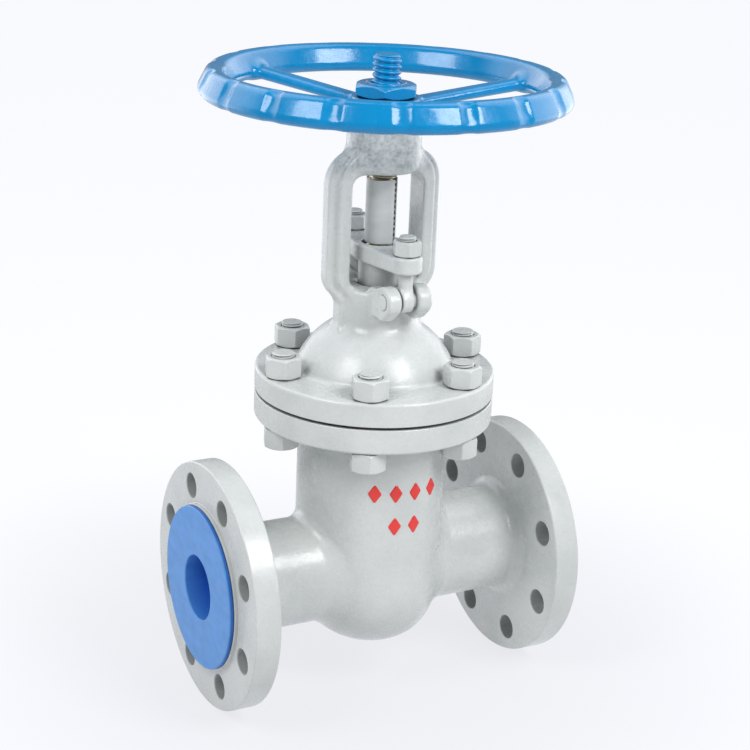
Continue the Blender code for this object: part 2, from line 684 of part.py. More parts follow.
def gland(paint):
    """The bushing that presses on the packing, and the plate that presses on the bushing."""
    shoulder_z = GLAND_PLATE_BOTTOM - GAP
    bushing = turned("bushing", [
        (GLAND_SPIGOT_R, GLAND_SPIGOT_TOP), (GLAND_SPIGOT_R, shoulder_z), (GLAND_R, shoulder_z),
        (GLAND_R, GLAND_BOTTOM), (STEM_BORE_R, GLAND_BOTTOM), (STEM_BORE_R, GLAND_SPIGOT_TOP),
    ], MEDIUM_ROUND, ring=True)
    piece("gland_bushing", bushing, paint)

    lean = math.degrees(math.asin((GLAND_PLATE_R - GLAND_LUG_R) / GLAND_BOLT_Y))
    outline = arc((0, 0), GLAND_PLATE_R, -lean, lean, 4)
    outline += arc((0, GLAND_BOLT_Y), GLAND_LUG_R, lean, 180 - lean, 11)
    outline += arc((0, 0), GLAND_PLATE_R, 180 - lean, 180 + lean, 4)
    outline += arc((0, -GLAND_BOLT_Y), GLAND_LUG_R, 180 + lean, 360 - lean, 11)
    flange = plate("gland_plate", [outline], GLAND_PLATE_BOTTOM, GLAND_PLATE_TOP)
    low, high = GLAND_PLATE_BOTTOM - LONG, GLAND_PLATE_TOP + LONG
    bore = cylinder("gland_bore", GLAND_SPIGOT_R + GAP, low, high, ROUND)
    holes = []
    for y in (-GLAND_BOLT_Y, GLAND_BOLT_Y):
        hole = cylinder("gland_hole", GLAND_HOLE_R, low, high)
        hole.data.transform(Matrix.Translation((0, y, 0)))
        holes.append(hole)
    piece("gland_flange", cut(flange, bore, *holes), paint)


def eyebolt():
    """An eye around the middle of the coordinates, lying along X, with a shank going up from it."""
    top = EYEBOLT_TOP - PIN_Z
    shank = turned("shank", [
        (0, top), (EYEBOLT_R - EDGE, top), (EYEBOLT_R, top - EDGE), (EYEBOLT_R, -2 * EDGE), (0, -2 * EDGE),
    ], SMALL_ROUND)
    eye = turned("eye", [
        (0, EYE_HALF), (EYE_R - 2 * EDGE, EYE_HALF), (EYE_R, EYE_HALF - 2 * EDGE),
        (EYE_R, 2 * EDGE - EYE_HALF), (EYE_R - 2 * EDGE, -EYE_HALF), (0, -EYE_HALF),
    ], SMALL_ROUND, along="X")
    hole = cylinder("eye_hole", PIN_R + GAP, -EYE_HALF - LONG, EYE_HALF + LONG, SMALL_ROUND, "X")
    return cut(join(shank, eye), hole)


def eyebolt_pin():
    return turned("pin", [
        (0, PIN_HALF_LENGTH), (PIN_R - FINE_EDGE, PIN_HALF_LENGTH), (PIN_R, PIN_HALF_LENGTH - FINE_EDGE),
        (PIN_R, FINE_EDGE - PIN_HALF_LENGTH), (PIN_R - FINE_EDGE, -PIN_HALF_LENGTH), (0, -PIN_HALF_LENGTH),
    ], SMALL_ROUND, along="X")


def gland_bolting(paint):
    """At the front and at the back an eyebolt on a pin, with a nut on the gland plate."""
    bolt_mesh = mesh_of(eyebolt())
    pin_mesh = mesh_of(eyebolt_pin())
    nut_mesh = mesh_of(hex_nut("gland_nut", GLAND_NUT_FLATS, GLAND_NUT_HEIGHT, EYEBOLT_R + GAP))
    for name, y in (("front", -GLAND_BOLT_Y), ("back", GLAND_BOLT_Y)):
        piece_of(f"eyebolt_{name}", bolt_mesh, paint, (0, y, PIN_Z))
        piece_of(f"eyebolt_pin_{name}", pin_mesh, paint, (0, y, PIN_Z))
        piece_of(f"gland_nut_{name}", nut_mesh, paint, (0, y, GLAND_PLATE_TOP + GAP))


# ---------------------------------------------------------------- drive


def yoke_nut(bronze):
    """The threaded bush that the handwheel turns, and the ring that keeps it in the yoke."""
    top = HUB_TOP + GAP + WHEEL_NUT_HEIGHT + 0.0006
    nut = turned("nut", [
        (DRIVE_R - FINE_EDGE, top), (DRIVE_R, top - FINE_EDGE), (DRIVE_R, RETAINER_BOTTOM - GAP),
        (YOKE_NUT_FLANGE_R, RETAINER_BOTTOM - GAP), (YOKE_NUT_FLANGE_R, YOKE_NUT_FLANGE_BOTTOM),
        (YOKE_NUT_R, YOKE_NUT_FLANGE_BOTTOM), (YOKE_NUT_R, YOKE_NUT_BOTTOM),
        (STEM_BORE_R, YOKE_NUT_BOTTOM), (STEM_BORE_R, top),
    ], MEDIUM_ROUND, ring=True)
    half = KEY_HALF + GAP
    slot = box("nut_keyway", (KEY_INNER_X - GAP, -half, HUB_BOTTOM), (KEY_OUTER_X, half, HUB_TOP))
    piece("yoke_nut", cut(nut, slot), bronze)


def yoke_nut_retainer(steel):
    ring = sleeve_ring("retainer", RETAINER_R, DRIVE_R + 0.0005, RETAINER_BOTTOM, HEAD_TOP - GAP)
    piece("yoke_nut_retainer", ring, steel)


def rim_section(points=10):
    """A rounded square with soft corners, as a cast rim has."""
    section = []
    for i in range(points):
        angle = math.pi / 2 - 2 * math.pi * i / points
        c, s = math.cos(angle), math.sin(angle)
        section.append((WHEEL_R - RIM_HALF_WIDTH + RIM_HALF_WIDTH * math.copysign(abs(c) ** 0.8, c),
                        RIM_Z + RIM_HALF_HEIGHT * math.copysign(abs(s) ** 0.8, s)))
    return section


def spoke(angle):
    """A tapered bar from the hub out to the rim, rising a little on the way."""
    hub_end, rim_end = 0.019, WHEEL_R - RIM_HALF_WIDTH
    bar = box("spoke", (hub_end, -SPOKE_HALF_WIDTH, -SPOKE_HALF_HEIGHT),
              (rim_end, SPOKE_HALF_WIDTH, SPOKE_HALF_HEIGHT))
    for vertex in bar.data.vertices:
        share = (vertex.co.x - hub_end) / (rim_end - hub_end)
        vertex.co.y *= 1 - 0.2 * share
        vertex.co.z += SPOKE_Z + SPOKE_RISE * share
    bar.data.transform(Matrix.Rotation(angle, 4, "Z"))
    return bar


def handwheel(paint):
    rim = turned("rim", rim_section(), RIM_ROUND, ring=True)
    hub = turned("hub", [(0, HUB_TOP), (HUB_R - EDGE, HUB_TOP), (HUB_R, HUB_TOP - EDGE),
                         (HUB_R, HUB_BOTTOM + EDGE), (HUB_R - EDGE, HUB_BOTTOM), (0, HUB_BOTTOM)], ROUND)
    wheel = join(hub, *[spoke(angle) for angle in SPOKE_ANGLES], rim)
    bore = cylinder("hub_bore", DRIVE_R + GAP, HUB_BOTTOM - LONG, HUB_TOP + LONG, ROUND)
    half = KEY_HALF + GAP
    slot = box("hub_keyway", (0, -half, HUB_BOTTOM - LONG), (KEY_OUTER_X + GAP, half, HUB_TOP + LONG))
    piece("handwheel", cut(wheel, bore, slot), paint)


def wheel_fastening(paint, steel):
    nut = hex_nut("wheel_nut", WHEEL_NUT_FLATS, WHEEL_NUT_HEIGHT, DRIVE_R + GAP, ROUND)
    nut.data.transform(Matrix.Translation((0, 0, HUB_TOP + GAP)))
    piece("handwheel_nut", nut, paint)
    bottom, top = HUB_BOTTOM + 2 * GAP, HUB_TOP - GAP
    key = box("key", (KEY_INNER_X, -KEY_HALF, bottom), (KEY_OUTER_X, KEY_HALF, top))
    piece("handwheel_key", key, steel)


# ---------------------------------------------------------------- shipping pieces


def cap_profile():
    """From the middle of the cup's floor, out over the disc, then back along the wall and its fin."""
    back = FACE_X + GAP
    front = back + CAP_THICKNESS
    tip = FACE_X - CAP_DEPTH
    floor = tip + CAP_WALL
    recess = [(0, floor), (CAP_RECESS_R - FINE_EDGE, floor), (CAP_RECESS_R, front - EDGE),
              (CAP_RECESS_R + EDGE, front)]
    disc = [(CAP_R - EDGE, front), (CAP_R, front - EDGE), (CAP_R, back), (CAP_TUBE_R, back)]
    fin = [(CAP_TUBE_R, CAP_FIN_X), (CAP_FIN_R, CAP_FIN_X - FINE_EDGE),
           (CAP_FIN_R, CAP_FIN_X - 2 * FINE_EDGE), (CAP_TUBE_R, CAP_FIN_X - 3 * FINE_EDGE)]
    return recess + disc + fin + [(CAP_TUBE_R - EDGE / 2, tip), (0, tip)]


def flange_caps(plastic):
    """A disc over each raised face, with a finned cup that plugs the bore."""
    for name, side in (("flange_cap_left", -1), ("flange_cap_right", 1)):
        piece(name, facing_side(turned(name, cap_profile(), along="X"), side), plastic)


def stem_sleeve(plastic):
    """A thin split sleeve over the stem's thread in the yoke window."""
    sleeve = sleeve_ring("sleeve", SLEEVE_OUTER_R, SLEEVE_INNER_R, SLEEVE_BOTTOM, SLEEVE_TOP)
    half = SLEEVE_SLOT_WIDTH / 2
    slot = box("sleeve_slot", (0, -half, SLEEVE_BOTTOM - LONG), (2 * SLEEVE_OUTER_R, half, SLEEVE_TOP + LONG))
    slot.data.transform(Matrix.Rotation(SLEEVE_SLOT_ANGLE, 4, "Z"))
    piece("stem_sleeve", cut(sleeve, slot), plastic)


def main():
    clear_scene()
    finish = materials()
    valve_body(finish["silver_enamel"])
    seat_rings(finish["hard_facing"])
    wedge_gate(finish["hard_facing"])
    bonnet_gasket(finish["graphite"])
    bonnet_yoke(finish["silver_enamel"])
    bonnet_studs(finish["stem_steel"], finish["silver_enamel"])
    stem(finish["stem_steel"])
    stuffing_box_fill(finish["bronze"], finish["graphite"])
    gland(finish["silver_enamel"])
    gland_bolting(finish["silver_enamel"])
    yoke_nut(finish["bronze"])
    yoke_nut_retainer(finish["stem_steel"])
    handwheel(finish["blue_enamel"])
    wheel_fastening(finish["blue_enamel"], finish["stem_steel"])
    flange_caps(finish["blue_plastic"])
    stem_sleeve(finish["sleeve_plastic"])


main()
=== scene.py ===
"""The looks of the gate valve: fine meshes, materials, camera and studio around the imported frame.

Shapes are worked out in millimetres, counted from the point where the pipe axis and the stem axis
cross, and go to metres in the frame when a mesh is handed over. Castings come from distance fields,
because every edge between their parts is a fillet. Everything machined is turned, cut or threaded.
"""

import math
from contextlib import contextmanager

import bmesh
import bpy
import numpy as np
from mathutils import Matrix, Vector


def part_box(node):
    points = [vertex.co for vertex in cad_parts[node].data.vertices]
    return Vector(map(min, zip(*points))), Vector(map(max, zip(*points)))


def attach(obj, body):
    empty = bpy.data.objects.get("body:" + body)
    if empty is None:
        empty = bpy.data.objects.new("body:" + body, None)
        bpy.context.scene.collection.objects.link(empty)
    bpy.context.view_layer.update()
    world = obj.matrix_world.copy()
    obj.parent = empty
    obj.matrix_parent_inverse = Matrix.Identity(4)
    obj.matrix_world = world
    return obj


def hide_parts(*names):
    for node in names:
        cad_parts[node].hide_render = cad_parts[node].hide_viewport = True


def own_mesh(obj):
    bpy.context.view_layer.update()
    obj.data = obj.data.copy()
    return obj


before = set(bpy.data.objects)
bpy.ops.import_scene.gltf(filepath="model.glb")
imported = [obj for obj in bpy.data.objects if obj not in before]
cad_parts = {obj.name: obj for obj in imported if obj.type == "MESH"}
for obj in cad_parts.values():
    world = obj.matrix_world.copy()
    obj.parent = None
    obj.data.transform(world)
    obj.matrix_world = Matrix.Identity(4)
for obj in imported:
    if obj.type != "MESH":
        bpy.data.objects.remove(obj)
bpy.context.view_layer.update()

# ---------------------------------------------------------------- sizes from the frame

MM = 0.001
AXIS_Z = sum(corner.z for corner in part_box("seat_ring_left")) / 2


def edges(node):
    """A node's lowest and highest corners in millimetres, with heights counted from the pipe axis."""
    return [(corner - Vector((0, 0, AXIS_Z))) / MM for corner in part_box(node)]


BODY_LOW, BODY_HIGH = edges("valve_body")
FACE_X = BODY_HIGH.x
FLANGE_R = -BODY_LOW.z
BODY_TOP = BODY_HIGH.z
BONNET_LOW, BONNET_HIGH = edges("bonnet_yoke")
BONNET_FLANGE_R = BONNET_HIGH.x
BONNET_BOTTOM = BONNET_LOW.z
HEAD_TOP = BONNET_HIGH.z
CAP_LOW, CAP_HIGH = edges("flange_cap_right")
SEAT_BACK = edges("seat_ring_right")[1].x
WEDGE_LOW, WEDGE_HIGH = edges("wedge_gate")
STEM_LOW, STEM_HIGH = edges("stem")
WHEEL_HIGH = edges("handwheel")[1]
WHEEL_R = WHEEL_HIGH.x
STUD_LOW, STUD_HIGH = edges("bonnet_stud_1")
STUD_PITCH_R = (STUD_LOW.x + STUD_HIGH.x) / 2
BOLT_LOW, BOLT_HIGH = edges("eyebolt_front")
BOLT_Y = -(BOLT_LOW.y + BOLT_HIGH.y) / 2
PLATE_LOW, PLATE_HIGH = edges("gland_flange")
KEY_LOW, KEY_HIGH = edges("handwheel_key")

# ---------------------------------------------------------------- sizes of the fine shapes

GAP = 0.3  # between pieces that touch
OVERLAP = 6.0  # how far one shape runs into another that it joins
REACH = 15.0  # how far a cutter runs past its work
SINK = 0.1  # a fillet ends this far under the flat that it runs out on
LEAST = 0.05  # what a field's values and slopes are kept above, to divide by them
FLAT_MARGIN, FLAT_HALF, FLAT_EDGE = 4.0, 20.0, 0.5  # that flat's margin, half thickness and edge

RAISED_R = 60.0
RAISED_HEIGHT = 3.0
FLANGE_BACK = FACE_X - 22.0
BORE_R = 32.5
NECK_R = 39.0
NECK_FILLET = 9.0
PIPE_BOLTS = 8
PIPE_BOLT_R = 9.0
PIPE_BOLT_PITCH_R = 72.5

BARREL_X = 52.5
BARREL_Y = 59.5
BARREL_BOTTOM = 58.5
BULB_POWER = 2.5
LID_FILLET = 5.0
BRANCH_FILLET = 8.0
WALL = 9.5
BODY_FLANGE_BOTTOM = 115.0
SEAT_R = 40.0
SEAT_BOSS_R = 46.0
SEAT_BOSS_X = 24.0
WEDGE_ANGLE = math.radians(5)
WEDGE_HALF = 13.0
TEE_TOP = 55.7

BONNET_FLANGE_TOP = 152.0
STUD_R = 8.0
STUD_HOLE_R = 8.8
STUDS = 6
DOME_Z = 130.6
DOME_R = 61.6
DOME_FILLET = 3.0
BONNET_NECK_R = 29.0
NECK_TOP = 213.0
NECK_HALF = 30.0  # half the neck's length. Its foot is inside the dome
KEEL_X = 32.5  # the ribs run on down the neck
KEEL_HALF_Y = 6.5
BOX_BOTTOM = 180.0
BOX_R = 15.3
WINDOW_HALF = 28.0
WINDOW_TOP = 294.0
BEAD_HALF = 37.0
BEAD_HALF_Y = 11.0
BEAD_BOTTOM = 206.0
RIB_HALF = 43.5
RIB_HALF_Y = 5.5
RIB_BOTTOM = 203.0
ARM_EDGE = 2.2
SHOULDER_TOP = 310.0
SHOULDER_R = 24.0
FOOT_R = 20.0
HEAD_R = 26.0
HEAD_BOTTOM = 295.0
LUG_R = 10.0
LUG_MIDDLE_X = 11.85
LUG_HALF_X = 5.15
PIN_Z = 211.0
PIN_R = 5.5

STEM_R = 10.0
STEM_PITCH = 4.0
STEM_THREAD_BOTTOM = 220.0
STEM_BORE_R = 10.4  # of pieces that the stem slides through
COLLAR_R = 14.0
YOKE_NUT_R = 14.0
YOKE_NUT_FLANGE_BOTTOM = 318.0
WHEEL_NUT_BOTTOM = 346.0
WHEEL_BORE_R = 13.8
KEYWAY_HALF = 2.8
RIM_HALF_WIDE = 11.0
RIM_TALL = 20.0
RIM_R = WHEEL_R - RIM_HALF_WIDE
RIM_BOTTOM = WHEEL_HIGH.z - RIM_TALL
HUB_R, HUB_LOW, HUB_HIGH = 24.0, 336.0, 345.7
SPOKE_ANGLES = [math.radians(120 * i) for i in range(3)]
SPOKE_INNER_R = HUB_R - 5
SPOKE_Z, SPOKE_RISE, SPOKE_POWER = 340.0, 10.7, 2.4
NOTCHES = 18
NOTCH_START = math.radians(6.6)
NOTCH_WIDE, NOTCH_DEEP = 12.0, 1.8
NOTCH_SOFT = 0.25  # how soft its edges are
NOTCH_FADE = 3.0  # how far out from the rim's middle it reaches full depth


# ---------------------------------------------------------------- outlines and turned shapes


def rounded(points, closed=False, steps=4):
    """A polyline in which each corner (x, y, radius) becomes an arc. Corners without a radius stay."""
    line = []
    for i, point in enumerate(points):
        if len(point) == 2 or (not closed and i in (0, len(points) - 1)):
            line.append(tuple(point[:2]))
            continue
        corner, radius = np.array(point[:2], float), point[2]
        back = np.array(points[i - 1][:2], float) - corner
        ahead = np.array(points[(i + 1) % len(points)][:2], float) - corner
        back /= np.linalg.norm(back)
        ahead /= np.linalg.norm(ahead)
        half = math.acos(np.clip(back @ ahead, -1, 1)) / 2
        middle = (back + ahead) / np.linalg.norm(back + ahead)
        centre = corner + middle * radius / math.sin(half)
        first = corner + back * radius / math.tan(half) - centre
        last = corner + ahead * radius / math.tan(half) - centre
        start = math.atan2(first[1], first[0])
        sweep = (math.atan2(last[1], last[0]) - start + math.pi) % (2 * math.pi) - math.pi
        for s in range(steps + 1):
            angle = start + sweep * s / steps
            line.append((centre[0] + radius * math.cos(angle), centre[1] + radius * math.sin(angle)))
    return line


def linked(name, data):
    obj = bpy.data.objects.new(name, data)
    bpy.context.scene.collection.objects.link(obj)
    return obj


@contextmanager
def editing(mesh):
    """The mesh's points and faces while they are changed, written back at the end."""
    work = bmesh.new()
    work.from_mesh(mesh)
    yield work
    work.to_mesh(mesh)
    work.free()


def working(name, points, faces):
    """A working object. Its faces are turned to point out."""
    mesh = bpy.data.meshes.new(name)
    mesh.from_pydata(points, [], faces)
    with editing(mesh) as work:
        bmesh.ops.recalc_face_normals(work, faces=work.faces)
    return linked(name, mesh)


def lathe(name, profile, steps=96, along="Z", ring=False):
    """Points (radius, height) turned about an axis. A solid's profile starts and ends on the axis."""
    points, rows = [], []
    for radius, height in profile:
        if radius < 1e-6:
            rows.append([len(points)] * steps)
            points.append((0, 0, height))
            continue
        rows.append(list(range(len(points), len(points) + steps)))
        angles = [2 * math.pi * i / steps for i in range(steps)]
        points += [(radius * math.cos(a), radius * math.sin(a), height) for a in angles]
    faces = []
    for upper, lower in zip(rows, rows[1:] + rows[:1] if ring else rows[1:]):
        for i in range(steps):
            j = (i + 1) % steps
            face = dict.fromkeys((upper[i], lower[i], lower[j], upper[j]))
            if len(face) > 2:
                faces.append(tuple(face))
    obj = working(name, points, faces)
    if along == "X":
        obj.data.transform(Matrix.Rotation(math.pi / 2, 4, "Y"))
    return obj


def turned_ring(name, corners, steps=96, along="Z"):
    return lathe(name, rounded(corners, True), steps, along, ring=True)


def cylinder(name, radius, low, high, steps=64, along="Z"):
    return lathe(name, [(0, high), (radius, high), (radius, low), (0, low)], steps, along)


def turned_bar(name, radius, low, high, lower_edge, upper_edge, steps, along="Z"):
    """A cylinder whose two edges are rounded by these radii."""
    profile = rounded([(0, high), (radius, high, upper_edge), (radius, low, lower_edge), (0, low)])
    return lathe(name, profile, steps, along)


def drill(name, radius, low, high, chamfer, along="Z", steps=48):
    """A cutter for a through hole between two faces, with a small chamfer at each."""
    wide = radius + chamfer + REACH
    return lathe(name, [
        (0, high + REACH), (wide, high + REACH), (radius, high - chamfer), (radius, low + chamfer),
        (wide, low - REACH), (0, low - REACH),
    ], steps, along)


def grid_solid(name, columns):
    """Columns of points, closed both round the columns and along each one."""
    count, rows = len(columns), len(columns[0])
    faces = []
    for i in range(count):
        for j in range(rows):
            ahead, above = (i + 1) % count, (j + 1) % rows
            faces.append((i * rows + j, ahead * rows + j, ahead * rows + above, i * rows + above))
    return working(name, [tuple(point) for column in columns for point in column], faces)


def capped_solid(name, rings):
    """Rings of points joined one to the next, with a flat face at each end."""
    count, last = len(rings[0]), len(rings) - 1
    faces = [tuple(range(count)), tuple(range(last * count, (last + 1) * count))]
    for r in range(last):
        for i in range(count):
            here, ahead = r * count + i, r * count + (i + 1) % count
            faces.append((here, ahead, ahead + count, here + count))
    return working(name, [point for ring in rings for point in ring], faces)


def block(name, low, high, bevel=0.0):
    mesh = bpy.data.meshes.new(name)
    size = [b - a for a, b in zip(low, high)]
    middle = [(a + b) / 2 for a, b in zip(low, high)]
    with editing(mesh) as work:
        bmesh.ops.create_cube(work, size=1)
        bmesh.ops.transform(work, matrix=Matrix.LocRotScale(middle, None, size), verts=work.verts)
        if bevel:
            bmesh.ops.bevel(work, geom=work.edges, offset=bevel, segments=3, profile=0.5, affect="EDGES")
    return linked(name, mesh)


def hexagon_nut(name, flats, height, bore, corner=0.9, bevel=0.7, chamfer=0.45):
    """A nut from height 0 up, its corners on the X axis, with chamfered ends and a chamfered bore."""
    tip = flats / math.sqrt(3)
    corners = [(tip * math.cos(math.pi / 3 * i), tip * math.sin(math.pi / 3 * i)) for i in range(6)]
    outline = []
    for i, (x, y) in enumerate(corners):
        nx, ny = corners[(i + 1) % 6]
        outline.append((x, y, corner))
        outline += [(x + (nx - x) * s / 8, y + (ny - y) * s / 8) for s in range(1, 8)]
    face_r = flats / 2 * 0.94
    slope = math.tan(math.radians(30))
    columns = []
    for x, y in rounded(outline, closed=True):
        radius = math.hypot(x, y)
        drop = (radius - face_r) * slope
        profile = rounded([
            (bore, height - chamfer), (bore + chamfer, height, 0.3 * chamfer), (face_r, height, bevel),
            (radius, height - drop, bevel), (radius, drop, bevel), (face_r, 0, bevel),
            (bore + chamfer, 0, 0.3 * chamfer), (bore, chamfer),
        ], steps=3)
        columns.append([(r * x / radius, r * y / radius, z) for r, z in profile])
    return grid_solid(name, columns)


def sharp_ridge(depth, flat=0.12):
    """A thread's profile over one pitch as (share of the pitch, depth). The rest of the pitch is flank."""
    return [(0, 0), (flat, 0), (0.5, depth), (0.5 + flat, depth)]


def round_ridge(depth, steps=10):
    """A thread's profile with a wide round crest and a narrower round root."""
    waves = [(1 - math.cos(2 * math.pi * i / steps)) / 2 for i in range(steps)]
    return [(i / steps, depth * wave ** 1.5) for i, wave in enumerate(waves)]


def threaded_rod(name, radius, pitch, shape, low, high, left_hand=False, steps=40):
    """A rod with a helical ridge of this profile."""
    hand = -1 if left_hand else 1
    rows = len(shape) * (int((high - low) / pitch) + 3)
    points = []
    for row in range(rows):
        share, depth = shape[row % len(shape)]
        r = radius - depth
        base = low - 1.5 * pitch + (row // len(shape) + share) * pitch
        for i in range(steps):
            angle = 2 * math.pi * i / steps
            points.append((r * math.cos(angle), r * math.sin(angle), base + hand * pitch * i / steps))
    faces = []
    for row in range(rows - 1):
        for i in range(steps):
            shifted = row + (len(shape) * hand if i == steps - 1 else 0)
            j = (i + 1) % steps
            if 0 <= shifted < rows - 1:
                faces.append((row * steps + i, shifted * steps + j, (shifted + 1) * steps + j,
                              (row + 1) * steps + i))
    rod = working(name, points, faces)
    with editing(rod.data) as work:
        bmesh.ops.delete(work, geom=[v for v in work.verts if not v.link_faces], context="VERTS")
        bmesh.ops.holes_fill(work, edges=[e for e in work.edges if e.is_boundary], sides=0)
        bmesh.ops.triangulate(work, faces=[f for f in work.faces if len(f.verts) > 4])
        bmesh.ops.recalc_face_normals(work, faces=work.faces)
    return rod


# ---------------------------------------------------------------- joining, cutting and placing


def boolean(base, others, operation):
    """Each Boolean is applied before the next. The others are used up."""
    for other in others:
        change = base.modifiers.new(operation, "BOOLEAN")
        change.operation = operation
        change.solver = "MANIFOLD"
        change.object = other
        bpy.context.view_layer.update()
        graph = bpy.context.evaluated_depsgraph_get()
        mesh = bpy.data.meshes.new_from_object(base.evaluated_get(graph))
        base.modifiers.clear()
        base.data = mesh
        bpy.data.objects.remove(other, do_unlink=True)
    return base


def cut(base, *others):
    return boolean(base, others, "DIFFERENCE")


def join(base, *others):
    return boolean(base, others, "UNION")


def common(base, *others):
    return boolean(base, others, "INTERSECT")


def moved(obj, matrix):
    obj.data.transform(matrix)
    return obj


def placed(obj, x=0, y=0, z=0):
    return moved(obj, Matrix.Translation((x, y, z)))


def to_side(obj, side):
    """Something made for the right-hand end stays there (side 1) or goes to the left (side -1)."""
    return moved(obj, Matrix.Rotation(0 if side > 0 else math.pi, 4, "Z"))


def around(obj, axis, count, start=0.0):
    """Copies of an object turned about an axis, in one mesh. They must not touch."""
    work = bmesh.new()
    for i in range(count):
        mesh = obj.data.copy()
        mesh.transform(Matrix.Rotation(start + 2 * math.pi * i / count, 4, axis))
        work.from_mesh(mesh)
        bpy.data.meshes.remove(mesh)
    work.to_mesh(obj.data)
    work.free()
    return obj


# ---------------------------------------------------------------- distance fields


def fillet_union(a, b, radius):
    """Both shapes, with a fillet of this radius where they meet."""
    arc = np.hypot(np.maximum(radius - a, 0), np.maximum(radius - b, 0))
    return np.maximum(radius, np.minimum(a, b)) - arc


def fillet_cut(a, b, radius):
    """The first shape without the second, the edge between them rounded."""
    return -fillet_union(-a, b, radius)


def corner_distance(u, v, radius):
    """The distance to a rounded corner, from the distances past its two sides."""
    u, v = u + radius, v + radius
    return np.hypot(np.maximum(u, 0), np.maximum(v, 0)) + np.minimum(np.maximum(u, v), 0) - radius


def rounded_box(u, v, half_u, half_v, radius):
    return corner_distance(np.abs(u) - half_u, np.abs(v) - half_v, radius)


def thick(distance, w, half, radius):
    """A flat outline's distance given a thickness along w, its edges rounded."""
    return corner_distance(distance, np.abs(w) - half, radius)


def flange_flat(outward, depth):
    """The flat that a casting's fillet runs out on, inside a turned flange."""
    return thick(outward - FLAT_MARGIN, depth - FLAT_HALF, FLAT_HALF, FLAT_EDGE)


def superellipse(u, v, half_u, half_v, power):
    """About the distance to a superellipse: its own value divided by its slope."""
    a, b = np.abs(u) / half_u, np.abs(v) / half_v
    value = np.maximum((a ** power + b ** power) ** (1 / power), LEAST)
    slope = np.hypot((a / value) ** (power - 1) / half_u, (b / value) ** (power - 1) / half_v)
    return (value - 1) / slope


def net_cells(values):
    """The cells that the surface crosses, and the middle of its crossings in each."""
    inside = values < 0
    corners = [(i, j, k) for i in (0, 1) for j in (0, 1) for k in (0, 1)]
    size = [n - 1 for n in values.shape]
    count = np.zeros(size, np.uint8)
    for i, j, k in corners:
        count += inside[i:i + size[0], j:j + size[1], k:k + size[2]]
    cells = np.argwhere((count > 0) & (count < 8))
    at = {c: values[cells[:, 0] + c[0], cells[:, 1] + c[1], cells[:, 2] + c[2]] for c in corners}
    total, crossings = np.zeros((len(cells), 3)), np.zeros(len(cells))
    for a in corners:
        for axis in range(3):
            if a[axis]:
                continue
            b = tuple(v + (n == axis) for n, v in enumerate(a))
            crossed = (at[a] < 0) != (at[b] < 0)
            share = at[a][crossed] / (at[a][crossed] - at[b][crossed])
            total[crossed] += a
            total[crossed, axis] += share
            crossings[crossed] += 1
    return cells, cells + total / crossings[:, None]


def net_faces(values, cells):
    """One quad for each grid edge that the surface crosses, joining the four cells round the edge."""
    number = np.full([n - 1 for n in values.shape], -1, np.int64)
    number[cells[:, 0], cells[:, 1], cells[:, 2]] = np.arange(len(cells))
    inside = values < 0
    quads = []
    for axis in range(3):
        u, v = (axis + 1) % 3, (axis + 2) % 3
        start = [slice(None)] * 3
        end = [slice(None)] * 3
        start[axis], end[axis] = slice(None, -1), slice(1, None)
        for first, flipped in ((True, False), (False, True)):
            crossed = (inside[tuple(start)] == first) & (inside[tuple(end)] != first)
            edge = np.argwhere(crossed)
            edge = edge[(edge[:, u] > 0) & (edge[:, v] > 0)]
            ring = []
            for du, dv in ((1, 1), (0, 1), (0, 0), (1, 0)):
                cell = edge.copy()
                cell[:, u] -= du
                cell[:, v] -= dv
                ring.append(number[cell[:, 0], cell[:, 1], cell[:, 2]])
            quad = np.stack(ring, 1)
            quads.append(quad[:, ::-1] if flipped else quad)
    return np.concatenate(quads)


def pulled(field, points, cell):
    """Points moved along the field's slope onto its zero surface."""
    step = 0.05
    for _ in range(3):
        value = field(*points.T)
        slope = np.empty_like(points)
        for axis in range(3):
            shift = np.zeros(3)
            shift[axis] = step
            slope[:, axis] = (field(*(points + shift).T) - field(*(points - shift).T)) / (2 * step)
        length = np.maximum((slope ** 2).sum(1), LEAST)
        move = -(value / length)[:, None] * slope
        reach = np.maximum(np.linalg.norm(move, axis=1) / (0.6 * cell), 1)
        points = points + move / reach[:, None]
    return points


def cast(name, field, low, high, cell):
    """The solid inside a distance field, as an even mesh of quads of about this size."""
    axes = [np.arange(a, b + cell, cell) for a, b in zip(low, high)]
    x, y, z = np.meshgrid(*axes, indexing="ij", sparse=True)
    values = np.broadcast_to(field(x, y, z), [len(a) for a in axes])
    cells, middles = net_cells(values)
    points = np.array(low, float) + middles * cell
    return working(name, pulled(field, points, cell).tolist(), net_faces(values, cells).tolist())


# ---------------------------------------------------------------- materials


def put(node, values):
    """Sets a node's inputs, by name or number, to sockets or plain values."""
    for key, value in dict(values).items():
        if isinstance(value, bpy.types.NodeSocket):
            node.id_data.links.new(value, node.inputs[key])
        else:
            node.inputs[key].default_value = value


def add(tree, kind, values=(), **settings):
    """A shader node with its settings and its inputs."""
    node = tree.nodes.new("ShaderNode" + kind)
    for key, value in settings.items():
        setattr(node, key, value)
    put(node, values)
    return node


def maths(tree, operation, *values):
    return add(tree, "Math", enumerate(values), operation=operation).outputs[0]


def vectors(tree, operation, *values):
    node = add(tree, "VectorMath", enumerate(values), operation=operation)
    return node.outputs["Value" if operation in ("DOT_PRODUCT", "LENGTH") else "Vector"]


def place_on(tree):
    """A place on the object, in its own frame."""
    return add(tree, "TexCoord").outputs["Object"]


def noise(tree, size_mm, detail=3.0, roughness=0.5, stretch=(1, 1, 1)):
    """Noise with features of this size, fixed to the object."""
    place = add(tree, "Mapping", {"Vector": place_on(tree), "Scale": stretch}).outputs[0]
    values = {"Vector": place, "Scale": 1 / (size_mm * MM), "Detail": detail, "Roughness": roughness}
    return add(tree, "TexNoise", values).outputs["Fac"]


